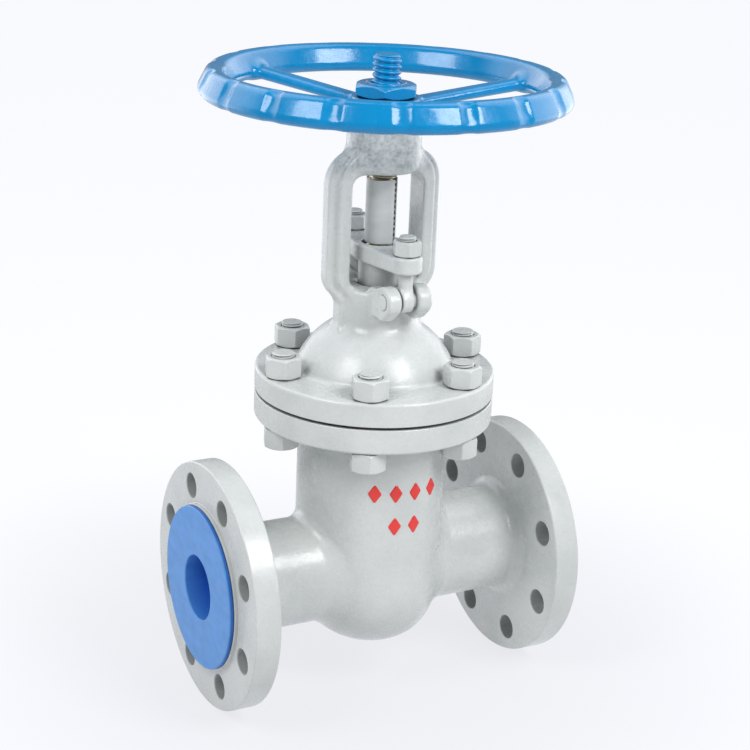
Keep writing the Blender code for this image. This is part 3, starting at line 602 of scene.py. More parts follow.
def remap(tree, value, from_low, from_high, to_low=0.0, to_high=1.0, **settings):
    values = enumerate((value, from_low, from_high, to_low, to_high))
    return add(tree, "MapRange", values, **settings).outputs[0]


def blended(tree, share, first, second):
    """Two colours mixed. Each is a socket or a colour."""
    node = add(tree, "Mix", data_type="RGBA")
    first, second = ((*value, 1) if isinstance(value, tuple) else value for value in (first, second))
    put(node, {0: share, 6: first, 7: second})  # the colours' inputs. Their output is number 2
    return node.outputs[2]


def crevices(tree, reach_mm):
    """1 in the open, falling towards 0 in corners and under ledges."""
    return add(tree, "AmbientOcclusion", {"Distance": reach_mm * MM}, samples=6).outputs["AO"]


def height_of(tree):
    """Height over the pipe axis in millimetres, fixed to the object."""
    split = add(tree, "SeparateXYZ", {0: place_on(tree)})
    return maths(tree, "MULTIPLY", maths(tree, "SUBTRACT", split.outputs["Z"], AXIS_Z), 1 / MM)


def bumps(shader, *layers):
    """Layers of (height socket, depth in millimetres), one on top of the other."""
    under = {}
    for height, depth in layers:
        values = {"Height": height, "Distance": depth * MM, "Strength": 1.0, **under}
        under = {"Normal": add(shader.id_data, "Bump", values).outputs["Normal"]}
    put(shader, under)


def new_material(name, colour, roughness, metallic=0.0, coat=0.0):
    material = bpy.data.materials.new(name)
    material.use_nodes = True
    shader = material.node_tree.nodes["Principled BSDF"]
    put(shader, {"Base Color": (*colour, 1), "Roughness": roughness, "Metallic": metallic,
                 "Coat Weight": coat, "Coat Roughness": 0.12})
    return material, material.node_tree, shader


def fed_by(shader, key):
    """What a shader's input has been linked to so far."""
    return shader.inputs[key].links[0].from_socket


def darker(colour, share):
    return tuple(share * c for c in colour)


def enamel(name, colour, shade, roughness, grain, peel, coat):
    """Sprayed enamel, a little uneven in colour and gloss, and darkened in its corners as painted shade.

    Grain is the skin under it, as size and depth, and peel the depth of its own waves.
    """
    material, tree, shader = new_material(name, colour, roughness, coat=coat)
    paint = blended(tree, remap(tree, noise(tree, 35, 4), 0.35, 0.7), colour, shade)
    dust = remap(tree, noise(tree, 2.2, 5, 0.65), 0.56, 0.74, 0.0, 0.35)
    paint = blended(tree, dust, paint, darker(shade, 0.86))
    # painted shade: each layer darkens the paint where the occlusion test finds corners, recesses and gaps,
    # at this reach in millimetres
    for reach, most in ((22, 0.30), (5, 0.60)):
        painted_shade = remap(tree, crevices(tree, reach), 0.15, 0.70, most, 0.0)
        paint = blended(tree, painted_shade, paint, darker(shade, 0.28))
    gloss = remap(tree, noise(tree, 9, 4), 0.3, 0.7, roughness - 0.07, roughness + 0.09)
    put(shader, {"Base Color": paint, "Roughness": gloss})
    bumps(shader, (noise(tree, 5.0, 2), peel), (noise(tree, grain[0], 3, 0.6), grain[1]))
    return material, tree, shader


SILVER, SILVER_SHADE = (0.615, 0.638, 0.628), (0.535, 0.563, 0.549)
BLUE, BLUE_SHADE = (0.001, 0.225, 0.500), (0.001, 0.190, 0.430)
# painted shade: a darker grey enamel inside the bolt holes of the pipe flanges
HOLE_SHADE_GREY, HOLE_SHADE_DARKER = (0.400, 0.425, 0.415), (0.290, 0.310, 0.305)
RED, RED_SHADE = (0.80, 0.045, 0.035), (0.70, 0.03, 0.025)
# grey of the yoke's rough head, darkened also as painted shadow of the wheel
HEAD_ROUGH_SHADOW, HEAD_ROUGH_SHADOW_DARK = (0.40, 0.43, 0.44), (0.26, 0.30, 0.31)
CAP_BLUE, CAP_PAINTED_SHADE = (0.085, 0.300, 0.720), (0.002, 0.075, 0.450)
STEEL, STEM_STEEL, STEM_OIL = (0.56, 0.57, 0.58), (0.60, 0.59, 0.56), (0.50, 0.45, 0.30)
BRONZE, FACING, SLEEVE = (0.62, 0.42, 0.20), (0.66, 0.67, 0.68), (0.58, 0.61, 0.60)
# the gasket's near-black is partly graphite and partly painted shade in the split between the flanges
GRAPHITE, GASKET_AND_SPLIT_SHADE, GASKET_RED = (0.035, 0.036, 0.040), (0.012, 0.010, 0.010), (0.050, 0.008, 0.010)


def overspray(tree, shader, colour, low, high):
    """Specks of a second paint, thickest at the upper height and none below the lower one."""
    specks = remap(tree, noise(tree, 3.0, 2, 0.5), 0.60, 0.63)
    share = maths(tree, "MULTIPLY", specks, remap(tree, height_of(tree), low, high))
    put(shader, {"Base Color": blended(tree, share, fed_by(shader, "Base Color"), colour)})


def rough_and_shadowed_head(tree, shader):
    """Grey and blotched round the yoke's head: a rough grey cast skin, and painted shadow where the wheel
    shades the head.
    """
    blotches = remap(tree, noise(tree, 7.0, 5, 0.6), 0.32, 0.62, 0.45, 1.0)
    fade = remap(tree, height_of(tree), WINDOW_TOP - 4, WINDOW_TOP + 8)
    rough_and_shadow = blended(tree, remap(tree, noise(tree, 2.5, 4, 0.6), 0.4, 0.6), HEAD_ROUGH_SHADOW_DARK, HEAD_ROUGH_SHADOW)
    # painted shadow of the wheel, mixed with the rough grey skin
    share = maths(tree, "MULTIPLY", blotches, fade)
    put(shader, {"Base Color": blended(tree, share, fed_by(shader, "Base Color"), rough_and_shadow)})


def silver_cast():
    material, tree, shader = enamel("silver_enamel_cast", SILVER, SILVER_SHADE, roughness=0.27,
                                    grain=(1.3, 0.12), peel=0.22, coat=0.12)
    rough_and_shadowed_head(tree, shader)
    overspray(tree, shader, BLUE, HEAD_TOP - 13, HEAD_TOP - 1)
    return material


def blue_cast():
    material, _, shader = enamel("blue_enamel_cast", BLUE, BLUE_SHADE, roughness=0.24,
                                 grain=(1.6, 0.06), peel=0.25, coat=0.6)
    put(shader, {"Specular IOR Level": 0.25})
    return material


def moulded_plastic(name, colour, roughness, grain_depth):
    """Injection-moulded plastic: fine even grain and slight flow marks."""
    material, tree, shader = new_material(name, colour, roughness)
    flow = remap(tree, noise(tree, 22, 2, 0.5, (1, 1, 3)), 0.3, 0.7)
    gloss = remap(tree, noise(tree, 6, 3), 0.3, 0.7, roughness - 0.05, roughness + 0.08)
    put(shader, {"Base Color": blended(tree, flow, colour, darker(colour, 0.86)), "Roughness": gloss})
    bumps(shader, (noise(tree, 14, 2), 0.25), (noise(tree, 0.6, 2), grain_depth))
    return material, tree, shader


def cap_plastic():
    """The caps' blue plastic, with painted shade: deeper in colour and duller down in the recess, where
    little light gets in.
    """
    material, tree, shader = moulded_plastic("cap_plastic", CAP_BLUE, 0.42, 0.03)
    # painted shade: deep blue and weaker reflection where the occlusion test finds the recess
    open_air = remap(tree, crevices(tree, 30), 0.45, 0.85)
    put(shader, {"Base Color": blended(tree, open_air, CAP_PAINTED_SHADE, fed_by(shader, "Base Color")),
                 "Specular IOR Level": remap(tree, open_air, 0, 1, 0.10, 0.5)})
    return material


def machined(name, colour, roughness, stretch=(0.3, 0.3, 6.0), film_colour=None):
    """Turned or ground metal: fine tool marks drawn out one way, and a film of oil that varies."""
    material, tree, shader = new_material(name, colour, roughness, metallic=1.0)
    film = remap(tree, noise(tree, 8, 4), 0.35, 0.7)
    marks = noise(tree, 1.2, 3, 0.6, stretch)
    put(shader, {"Base Color": blended(tree, film, colour, film_colour or darker(colour, 0.78)),
                 "Roughness": remap(tree, marks, 0.3, 0.7, roughness - 0.08, roughness + 0.12)})
    bumps(shader, (marks, 0.02))
    return material, tree, shader


def painted_end(made, low=WHEEL_NUT_BOTTOM + 7, colour=BLUE, roughness=0.26):
    """Covers a machined piece with paint above this height."""
    material, tree, shader = made
    ragged = maths(tree, "ADD", height_of(tree), remap(tree, noise(tree, 2.5, 3), 0.0, 1.0, -0.5, 0.5))
    covered = remap(tree, ragged, low, low + 0.3)
    put(shader, {"Base Color": blended(tree, covered, fed_by(shader, "Base Color"), colour),
                 "Roughness": blended(tree, covered, fed_by(shader, "Roughness"), (roughness,) * 3),
                 "Metallic": remap(tree, covered, 0, 1, 1, 0)})
    return material


def braided_graphite():
    """Plaited packing: two slanting sets of strands over a dull, nearly black body."""
    material, tree, shader = new_material("braided_graphite", GRAPHITE, 0.62)
    strands = []
    for slant in (-1, 1):
        turn = (0, 0, slant * math.radians(35))
        place = add(tree, "Mapping", {"Vector": place_on(tree), "Rotation": turn}).outputs[0]
        values = {"Vector": place, "Scale": 260, "Distortion": 1.5, "Detail": 1.0}
        strands.append((add(tree, "TexWave", values).outputs["Fac"], 0.3))
    put(shader, {"Roughness": remap(tree, noise(tree, 1.0, 3), 0.3, 0.7, 0.45, 0.75)})
    bumps(shader, *strands)
    return material


def gasket_sheet():
    """Compressed graphite sheet with a reddish edge, its grey darkened almost to black as painted shade in
    the split between the flanges.
    """
    material, tree, shader = new_material("gasket_sheet", GASKET_AND_SPLIT_SHADE, 0.8)
    mottled = remap(tree, noise(tree, 2, 4), 0.35, 0.65)
    put(shader, {"Base Color": blended(tree, mottled, GASKET_AND_SPLIT_SHADE, GASKET_RED)})
    bumps(shader, (noise(tree, 0.8, 3), 0.08))
    return material


def finishes():
    """Each skin's material, and the record's slot for it."""
    turned = enamel("silver_enamel_turned", SILVER, SILVER_SHADE, 0.28, (0.9, 0.03), 0.10, 0.10)
    # painted shade for the insides of the bolt holes
    hole_shade = enamel("hole_painted_shade", HOLE_SHADE_GREY, HOLE_SHADE_DARKER, 0.50, (0.8, 0.05), 0.05, 0.0)
    red = enamel("red_enamel", RED, RED_SHADE, 0.38, (0.8, 0.05), 0.10, 0.1)
    stem_steel = machined("stem_steel", STEM_STEEL, 0.30, film_colour=STEM_OIL)
    return {
        "cast": (silver_cast(), "silver_enamel"),
        "turned": (turned[0], "silver_enamel"),
        "hole_shade": (hole_shade[0], "silver_enamel"),
        "red": (red[0], "silver_enamel"),
        "blue": (blue_cast(), "blue_enamel"),
        "cap": (cap_plastic(), "blue_plastic"),
        "sleeve": (moulded_plastic("sleeve_plastic", SLEEVE, 0.40, 0.02)[0], "sleeve_plastic"),
        "stem": (painted_end(stem_steel), "bare_steel"),
        "yoke_nut": (painted_end(machined("nut_bronze", BRONZE, 0.36)), "bronze"),
        "bronze": (machined("bush_bronze", BRONZE, 0.36)[0], "bronze"),
        "steel": (machined("plain_steel", STEEL, 0.34)[0], "bare_steel"),
        "facing": (machined("hard_facing", FACING, 0.20, (6.0, 6.0, 0.3))[0], "hard_facing"),
        "packing": (braided_graphite(), "graphite"),
        "gasket": (gasket_sheet(), "graphite"),
    }


FINISHES = finishes()


# ---------------------------------------------------------------- handing over


def skinned(obj, skins, skin):
    """All of the object's faces take one of the skins. Objects that are joined share the same list."""
    for key in skins:
        obj.data.materials.append(FINISHES[key][0])
    obj.data.polygons.foreach_set("material_index", [skins.index(skin)] * len(obj.data.polygons))
    return obj


def finish(obj, node, made, skin, body="housing", sharp=38):
    """Names a piece after its node and its making, and sets it on its body in place of the node."""
    material, slot = FINISHES[skin]
    obj.name = f"{node}_{made}"
    obj.data.name = obj.name
    if not any(obj.data.materials):
        obj.data.materials.clear()
        obj.data.materials.append(material)
    obj.data.shade_smooth()
    obj.data.set_sharp_from_angle(angle=math.radians(sharp))
    obj.modifiers.new("even_shading", "WEIGHTED_NORMAL").keep_sharp = True
    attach(obj, body)
    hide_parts(node)
    return obj


def hand_over(obj, *names, **settings):
    """Finishes an object made in millimetres from the pipe axis."""
    obj.data.transform(Matrix.Translation((0, 0, AXIS_Z)) @ Matrix.Scale(MM, 4))
    return finish(obj, *names, **settings)


def placed_copy(mesh, place, turn, *names):
    """A piece that shares its mesh, in metres, with others, at a place in millimetres."""
    obj = linked("copy", mesh)
    world = Vector(place) * MM + Vector((0, 0, AXIS_Z))
    obj.matrix_world = Matrix.Translation(world) @ Matrix.Rotation(turn, 4, "Z")
    return finish(obj, *names)


def spare_mesh(obj):
    """The object's mesh in metres, for copies to share. The object goes."""
    mesh = obj.data
    mesh.transform(Matrix.Scale(MM, 4))
    bpy.data.objects.remove(obj)
    return mesh


# ---------------------------------------------------------------- valve body

SIDES = (("left", -1), ("right", 1))
BODY_SKINS = ("cast", "turned", "red", "hole_shade")
BONNET_SKINS = ("cast", "turned")


def barrel_distance(x, y, z):
    """The oval column. Under the pipe axis it closes in a bulb."""
    across = np.hypot(x / BARREL_X, y / BARREL_Y)
    low = np.maximum(-z, 0) / BARREL_BOTTOM
    value = np.maximum((across ** BULB_POWER + low ** BULB_POWER) ** (1 / BULB_POWER), LEAST)
    spread = np.hypot(x / BARREL_X ** 2, y / BARREL_Y ** 2) / np.maximum(across, LEAST)
    slope = np.hypot((across / value) ** (BULB_POWER - 1) * spread,
                     (low / value) ** (BULB_POWER - 1) / BARREL_BOTTOM)
    return (value - 1) / slope


def body_field(x, y, z):
    """Barrel and pipe necks. Their ends run on inside the flanges, which are turned."""
    radius = np.hypot(y, z)
    back, top = FLANGE_BACK + SINK, BODY_FLANGE_BOTTOM + SINK
    plate = flange_flat(radius - NECK_R - NECK_FILLET, np.abs(x) - back)
    neck = fillet_union(radius - NECK_R, plate, NECK_FILLET)
    lid = flange_flat(np.hypot(x, y) - BARREL_Y - LID_FILLET, z - top)
    column = fillet_union(barrel_distance(x, y, z), lid, LID_FILLET)
    shape = fillet_union(column, neck, BRANCH_FILLET)
    return np.maximum(shape, np.maximum(np.abs(x) - back, z - top) - OVERLAP)


def pipe_flange(side):
    rim_x = FACE_X - RAISED_HEIGHT
    disc = lathe("pipe_flange", rounded([
        (0, FACE_X), (RAISED_R, FACE_X, 0.5), (RAISED_R, rim_x, 0.7), (FLANGE_R, rim_x, 1.2),
        (FLANGE_R, FLANGE_BACK, 1.6), (0, FLANGE_BACK),
    ]), 160, "X")
    hole = placed(drill("pipe_bolt_hole", PIPE_BOLT_R, FLANGE_BACK, rim_x, 0.5, "X"), y=PIPE_BOLT_PITCH_R)
    holes = around(hole, "X", PIPE_BOLTS, math.pi / PIPE_BOLTS)
    # the bolt holes take the darker enamel as painted shade
    disc = cut(skinned(disc, BODY_SKINS, "turned"), skinned(holes, BODY_SKINS, "hole_shade"))
    return to_side(disc, side)


def bolted_flange(name, low, high, lower_edge, upper_edge):
    """One of the two discs at the split, with the studs' holes."""
    disc = turned_bar(name, BONNET_FLANGE_R, low, high, lower_edge, upper_edge, 160)
    hole = placed(drill("stud_hole", STUD_HOLE_R, low, high, 0.5), STUD_PITCH_R)
    return cut(disc, around(hole, "Z", STUDS))


def body_cavity():
    """The chamber in which the wedge travels, with a boss behind each seat and a guide on each side."""
    depth, wide, top = BARREL_BOTTOM - WALL - 0.5, BARREL_Y - WALL, BODY_TOP + REACH
    share, steps = 2 / BULB_POWER, 16
    profile = [(0, top), (wide, top)]
    for i in range(steps):
        angle = math.pi / 2 * i / steps
        profile.append((wide * math.cos(angle) ** share, -depth * math.sin(angle) ** share))
    cavity = lathe("cavity", profile + [(0, -depth)])
    moved(cavity, Matrix.Diagonal(((BARREL_X - WALL) / wide, 1, 1, 1)))
    bosses = [cylinder("seat_boss", SEAT_BOSS_R, *span, 96, "X")
              for span in ((SEAT_BOSS_X, BARREL_X + REACH), (-BARREL_X - REACH, -SEAT_BOSS_X))]
    half, guide_y, guide_deep, bottom, top = 3.4, 40.0, 20.0, -25.0, BODY_FLANGE_BOTTOM - 3
    guides = [block("guide", (-half, y, bottom), (half, y + guide_deep, top))
              for y in (guide_y, -guide_y - guide_deep)]
    return cut(cavity, *bosses, *guides)


def barrel_mark(along, height):
    """A raised diamond wrapped on the barrel's front, its middle this far along the surface."""
    wide, tall, blunt = 5.2, 7.4, 1.2
    outline = rounded([(wide, 0, blunt), (0, tall, blunt), (-wide, 0, blunt), (0, -tall, blunt)], True, 3)
    rings = []
    for scale, out in ((1.0, -2.5), (1.0, 0.15), (0.93, 0.50), (0.80, 0.65), (0.45, 0.65)):
        ring = []
        for u, v in outline:
            angle = (along + u * scale) / ((BARREL_X + BARREL_Y) / 2)
            x, y = BARREL_X * math.sin(angle), -BARREL_Y * math.cos(angle)
            push = 1 + out / math.hypot(x, y)
            ring.append((x * push, y * push, height + v * scale))
        rings.append(ring)
    return capped_solid("barrel_mark", rings)


def barrel_marks():
    """Two rows of painted marks on the front of the barrel."""
    gap, shift = 16.0, -2.5
    rows = ((4, 75.0), (2, 50.0))
    return [barrel_mark((i - (count - 1) / 2) * gap + shift, height)
            for count, height in rows for i in range(count)]


def valve_body():
    low, high = (-FLANGE_BACK - 8, -70, -68), (FLANGE_BACK + 8, 70, 123)  # just round the casting
    body = skinned(cast("body", body_field, low, high, cell=1.25), BODY_SKINS, "cast")
    top = bolted_flange("top_flange", BODY_FLANGE_BOTTOM, BODY_TOP, 2.2, 0.8)
    marks = [skinned(mark, BODY_SKINS, "red") for mark in barrel_marks()]
    body = join(body, pipe_flange(-1), pipe_flange(1), skinned(top, BODY_SKINS, "turned"), *marks)
    bore = cylinder("bore", BORE_R, -FACE_X - REACH, FACE_X + REACH, 96, "X")
    seats = cylinder("seat_bore", SEAT_R + GAP, -SEAT_BACK - GAP, SEAT_BACK + GAP, 96, "X")
    hand_over(cut(body, body_cavity(), bore, seats), "valve_body", "casting", "cast")


# ---------------------------------------------------------------- seats, wedge and gasket


def leaning_block(side, offset, size=100):
    """A block whose near face leans at the wedge's angle, this far out on the pipe axis."""
    blank = block("leaning", (0, -size, -size), (size, size, size))
    moved(blank, Matrix.Rotation(WEDGE_ANGLE, 4, "Y"))
    return to_side(placed(blank, offset), side)


def seat_rings():
    front = 4.0  # of the blank. The leaning face takes off more
    for name, side in SIDES:
        ring = turned_ring("seat", [
            (SEAT_R, SEAT_BACK, 0.4), (SEAT_R, front), (BORE_R, front), (BORE_R, SEAT_BACK, 0.4),
        ], along="X")
        ring = common(to_side(ring, side), leaning_block(side, WEDGE_HALF + GAP))
        hand_over(ring, f"seat_ring_{name}", "ground", "facing")


def wedge_gate():
    """The wedge: a cast body with a ground ring on each face, ears in the guides and a slot for the stem."""
    dish_r, dish_low, dish_high = BORE_R - 3, WEDGE_HALF - 1.6, 40
    wedge = cylinder("disc", WEDGE_HIGH.y - 2.5, -20, 20, 96, "X")
    wedge = cut(wedge, leaning_block(1, WEDGE_HALF), leaning_block(-1, WEDGE_HALF))
    for side in (1, -1):
        profile = rounded([(0, dish_high), (dish_r, dish_high), (dish_r, dish_low, 1.0), (0, dish_low)])
        dish = to_side(lathe("dish", profile, 96, "X"), side)
        wedge = cut(wedge, moved(dish, Matrix.Rotation(WEDGE_ANGLE * side, 4, "Y")))
    ears = block("ears", (-8, WEDGE_LOW.y, -20), (8, WEDGE_HIGH.y, 20), 1.2)
    boss = block("boss", (-11, -18, 30), (11, 18, WEDGE_HIGH.z), 2.0)
    grooves = [block("groove", (-4, y, -60), (4, y + 20, 60)) for y in (39.5, -59.5)]
    tee = block("tee_slot", (-30, -12, STEM_LOW.z - GAP), (30, 12, TEE_TOP + GAP))
    neck = block("neck_slot", (-30, -8.5, TEE_TOP - 1), (30, 8.5, WEDGE_HIGH.z + REACH))
    wedge = cut(join(wedge, ears, boss), *grooves, join(tee, neck))
    hand_over(wedge, "wedge_gate", "ground", "facing", "gate")


def bonnet_gasket():
    """A ring with fine grooves in both faces."""
    low, high = edges("bonnet_gasket")
    inner, ridges, depth = 52.0, 8, 0.12
    pitch = (high.x - inner) / ridges
    upper, lower = high.z - depth, low.z + depth
    top = [(inner + (i + share) * pitch, z)
           for i in range(ridges) for share, z in ((0.15, upper), (0.5, high.z), (0.85, upper))]
    bottom = [(r, low.z + high.z - z) for r, z in reversed(top)]
    profile = [(high.x, upper), (high.x, lower), *bottom, (inner, lower), (inner, upper), *top]
    hand_over(lathe("gasket", profile, 128, ring=True), "bonnet_gasket", "sheet", "gasket")


# ---------------------------------------------------------------- bonnet


def arms_field(x, y, z):
    """A bead round the window and a narrower rib outside it, both bent in to the head."""
    corner = np.where(z > (RIB_BOTTOM + SHOULDER_TOP) / 2, SHOULDER_R, FOOT_R)
    bars = []
    for bottom, half, half_y in ((BEAD_BOTTOM, BEAD_HALF, BEAD_HALF_Y), (RIB_BOTTOM, RIB_HALF, RIB_HALF_Y)):
        outline = rounded_box(x, z - (SHOULDER_TOP + bottom) / 2, half, (SHOULDER_TOP - bottom) / 2, corner)
        bars.append(thick(outline, y, half_y, ARM_EDGE))
    return fillet_union(*bars, ARM_EDGE)


def yoke_field(x, y, z):
    """The arms with the head on them and the window cut through."""
    head_middle = (HEAD_TOP + HEAD_BOTTOM) / 2
    head_edge = np.where(z > head_middle, 2.0, 5.0)
    head = thick(np.hypot(x, y) - HEAD_R, z - head_middle, HEAD_TOP - head_middle, head_edge)
    window_z = z - (NECK_TOP + WINDOW_TOP) / 2
    window = rounded_box(x, window_z, WINDOW_HALF, (WINDOW_TOP - NECK_TOP) / 2, 9.0)
    return fillet_cut(fillet_union(arms_field(x, y, z), head, 6.0), window, 1.8)


def lugs_field(x, y, z):
    """Two plates through the neck, each with a round lug at the front and one at the back."""
    web_y, web_z, web_half_y, web_half_z = 28.0, 207.0, 11.0, 10.0
    out = np.abs(y)
    eye = np.hypot(out - BOLT_Y, z - PIN_Z) - LUG_R
    web = rounded_box(out - web_y, z - web_z, web_half_y, web_half_z, 3.0)
    return thick(fillet_union(eye, web, 8.0), np.abs(x) - LUG_MIDDLE_X, LUG_HALF_X, ARM_EDGE)


def neck_field(x, y, z):
    """The round neck, with a keel down each side."""
    neck_z = z - NECK_TOP + NECK_HALF
    neck = thick(np.hypot(x, y) - BONNET_NECK_R, neck_z, NECK_HALF, 2.5)
    keels = thick(rounded_box(x, neck_z, KEEL_X, NECK_HALF, 4.0), y, KEEL_HALF_Y, ARM_EDGE)
    return fillet_union(neck, keels, 2.5)


def bonnet_field(x, y, z):
    """Dome, stuffing box neck, lugs, yoke and head in one casting. The flange is turned."""
    radius = np.hypot(x, y)
    top = BONNET_FLANGE_TOP - SINK
    dome = np.hypot(radius, z - DOME_Z) - DOME_R
    shape = fillet_union(dome, flange_flat(radius - DOME_R, top - z), DOME_FILLET)
    for field, fillet in ((neck_field, 5.0), (lugs_field, 3.0), (yoke_field, 5.0)):
        shape = fillet_union(shape, field(x, y, z), fillet)
    return np.maximum(shape, top - OVERLAP - z)


def dome_cavity():
    inner, roof, bottom, steps = DOME_R - 10, 168.0, BONNET_BOTTOM - REACH, 10
    roof_r = math.sqrt(inner ** 2 - (roof - DOME_Z) ** 2)
    profile = [(0, roof)]
    for i in range(steps + 1):
        radius = roof_r + (inner - roof_r) * i / steps
        profile.append((radius, DOME_Z + math.sqrt(inner ** 2 - radius ** 2)))
    return lathe("dome_cavity", profile + [(inner, bottom), (0, bottom)])


def nut_bore():
    """The stepped bore for the yoke nut, with the retainer's seat at its top."""
    seat, ring_r = edges("yoke_nut_retainer")[0].z - GAP, edges("yoke_nut_retainer")[1].x + GAP
    step, step_r = YOKE_NUT_FLANGE_BOTTOM - GAP, edges("yoke_nut")[1].x + GAP
    bottom, body_r = WINDOW_TOP - 5, YOKE_NUT_R + GAP
    top, wide = HEAD_TOP + REACH, ring_r + 1 + REACH
    return lathe("nut_bore", [
        (0, top), (wide, top), (ring_r, HEAD_TOP - 0.6), (ring_r, seat), (step_r, seat), (step_r, step),
        (body_r, step), (body_r, bottom), (0, bottom),
    ])


def stuffing_box():
    wide, top, bottom = BOX_R + 9, NECK_TOP + 8, BOX_BOTTOM - 1
    profile = [(0, top), (wide, top), (BOX_R, NECK_TOP - 1), (BOX_R, bottom), (0, bottom)]
    return lathe("stuffing_box", profile)


def bonnet_yoke():
    low, high = (-66, -66, BONNET_FLANGE_TOP - 9), (66, 66, HEAD_TOP + 3)  # just round the casting
    casting = skinned(cast("bonnet", bonnet_field, low, high, cell=1.1), BONNET_SKINS, "cast")
    flange = bolted_flange("bonnet_flange", BONNET_BOTTOM, BONNET_FLANGE_TOP, 0.8, 2.4)
    casting = join(casting, skinned(flange, BONNET_SKINS, "turned"))
    backseat_r, backseat_low = 16.3, 166.0
    backseat = cylinder("backseat_bore", backseat_r, backseat_low, BOX_BOTTOM, 96)
    pins = [placed(cylinder("pin_hole", PIN_R + GAP, -30, 30, 48, "X"), 0, y, PIN_Z)
            for y in (-BOLT_Y, BOLT_Y)]
    casting = cut(casting, dome_cavity(), backseat, stuffing_box(), nut_bore(), *pins)
    hand_over(casting, "bonnet_yoke", "casting", "cast")


# ---------------------------------------------------------------- bolting

# How many degrees each nut, in order round the flange, stopped short of two flats towards the barrel.
NUT_TURNS = {"upper": (0, 8, 15, 20, 20, 6), "lower": (10, 10, 10, 21, 18, 18)}


def bolting():
    """Studs with a threaded end through each nut, and the nuts above and below the flanges."""
    low, high, pitch = STUD_LOW.z, STUD_HIGH.z, 2.0
    stud = threaded_rod("stud", STUD_R, pitch, sharp_ridge(1.15), low - 4, high + 4)
    stud = common(stud, turned_bar("stud_shank", STUD_R, low, high, 1.0, 1.0, 40))
    plain = cylinder("plain_middle", STUD_R - 0.05, BODY_FLANGE_BOTTOM + 4, BONNET_FLANGE_TOP - 4, 40)
    stud = spare_mesh(join(stud, plain))
    nut_low, nut_high = edges("bonnet_nut_upper_1")
    nut = spare_mesh(hexagon_nut("stud_nut", 24.0, nut_high.z - nut_low.z, STUD_R + GAP))
    for i in range(STUDS):
        angle = 2 * math.pi * i / STUDS
        x, y = STUD_PITCH_R * math.cos(angle), STUD_PITCH_R * math.sin(angle)
        placed_copy(stud, (x, y, 0), angle * 2.3, f"bonnet_stud_{i + 1}", "fine", "turned")
        for level, turns in NUT_TURNS.items():
            node, turn = f"bonnet_nut_{level}_{i + 1}", angle + math.radians(30 - turns[i])
            placed_copy(nut, (x, y, edges(node)[0].z), turn, node, "fine", "turned")


# ---------------------------------------------------------------- stem, packing and gland


def stem():
    """Threaded from above the packing to its end. Collar and tee are at the bottom."""
    top, start, root_r, taper = STEM_HIGH.z, STEM_THREAD_BOTTOM, STEM_R - 2.3, 2.4
    collar_low, collar_high, neck_r, neck_low, neck_high = 93.0, 98.0, 8.0, STEM_LOW.z + 2, 66.0
    thread = threaded_rod("stem_thread", STEM_R, STEM_PITCH, round_ridge(2.0), start, top + 6,
                          left_hand=True, steps=64)
    thread = common(thread, lathe("stem_reach", [
        (0, top), (STEM_R - taper, top), (STEM_R, top - taper), (STEM_R, start + 3), (root_r, start + 0.7),
        (0, start + 0.7),
    ], 64))
    shank = lathe("stem_shank", rounded([
        (0, start + 3), (root_r, start + 3), (STEM_R, start, 0.5), (STEM_R, collar_high + 4, 0.8),
        (COLLAR_R, collar_high, 0.4), (COLLAR_R, collar_low, 0.4), (STEM_R, collar_low - 4, 0.8),
        (STEM_R, neck_high + 2, 0.3), (neck_r, neck_high, 0.5), (neck_r, neck_low), (0, neck_low),
    ]), 64)
    tee = block("tee", (-9, -11.6, STEM_LOW.z), (9, 11.6, TEE_TOP), 0.8)
    hand_over(join(thread, shank, tee), "stem", "threaded", "stem", "gate", sharp=70)


def packing():
    """Square plaited rings. Together they are squeezed 4 mm shorter by the gland."""
    stack_low, stack_high = edges("packing_ring_1")[0].z, edges("packing_ring_5")[1].z
    edge = 1.2
    for i in range(1, 6):
        node = f"packing_ring_{i}"
        low, high = edges(node)
        ring = turned_ring("packing", [(high.x, high.z, edge), (high.x, low.z, edge),
                                       (STEM_BORE_R, low.z, edge), (STEM_BORE_R, high.z, edge)])
        hand_over(ring, node, "plaited", "packing")
        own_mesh(ring)


def backseat_bushing():
    low, high = edges("backseat_bushing")
    ring = turned_ring("backseat", [
        (high.x, high.z, 0.4), (high.x, low.z, 0.4), (COLLAR_R, low.z), (STEM_BORE_R, low.z + 4.2, 0.5),
        (STEM_BORE_R, high.z, 0.4),
    ])
    hand_over(ring, "backseat_bushing", "turned", "bronze")


def plate_field(x, y, z):
    """The gland plate: round in the middle, tapering to a round lug at each end."""
    middle_r, lug_r = 19.0, PLATE_HIGH.y - BOLT_Y
    out = np.abs(y)
    lean = math.asin((middle_r - lug_r) / BOLT_Y)
    along = out * math.cos(lean) - np.abs(x) * math.sin(lean)
    share = np.clip(along / (BOLT_Y * math.cos(lean)), 0, 1)
    outline = np.hypot(x, out - share * BOLT_Y) - (middle_r + (lug_r - middle_r) * share)
    height = (PLATE_LOW.z + PLATE_HIGH.z) / 2
    return thick(outline, z - height, PLATE_HIGH.z - height, 2.2)


def gland_flange():
    margin, bore_r, hole_r = 2, 12.8, 6.7
    low, high = [v - margin for v in PLATE_LOW], [v + margin for v in PLATE_HIGH]
    plate = cast("gland_plate", plate_field, low, high, cell=0.8)
    bore = drill("gland_bore", bore_r, PLATE_LOW.z, PLATE_HIGH.z, 0.6, steps=96)
    bolts = [placed(drill("bolt_hole", hole_r, PLATE_LOW.z, PLATE_HIGH.z, 0.5), y=y)
             for y in (-BOLT_Y, BOLT_Y)]
    hand_over(cut(plate, bore, *bolts), "gland_flange", "cast", "turned", "gland")


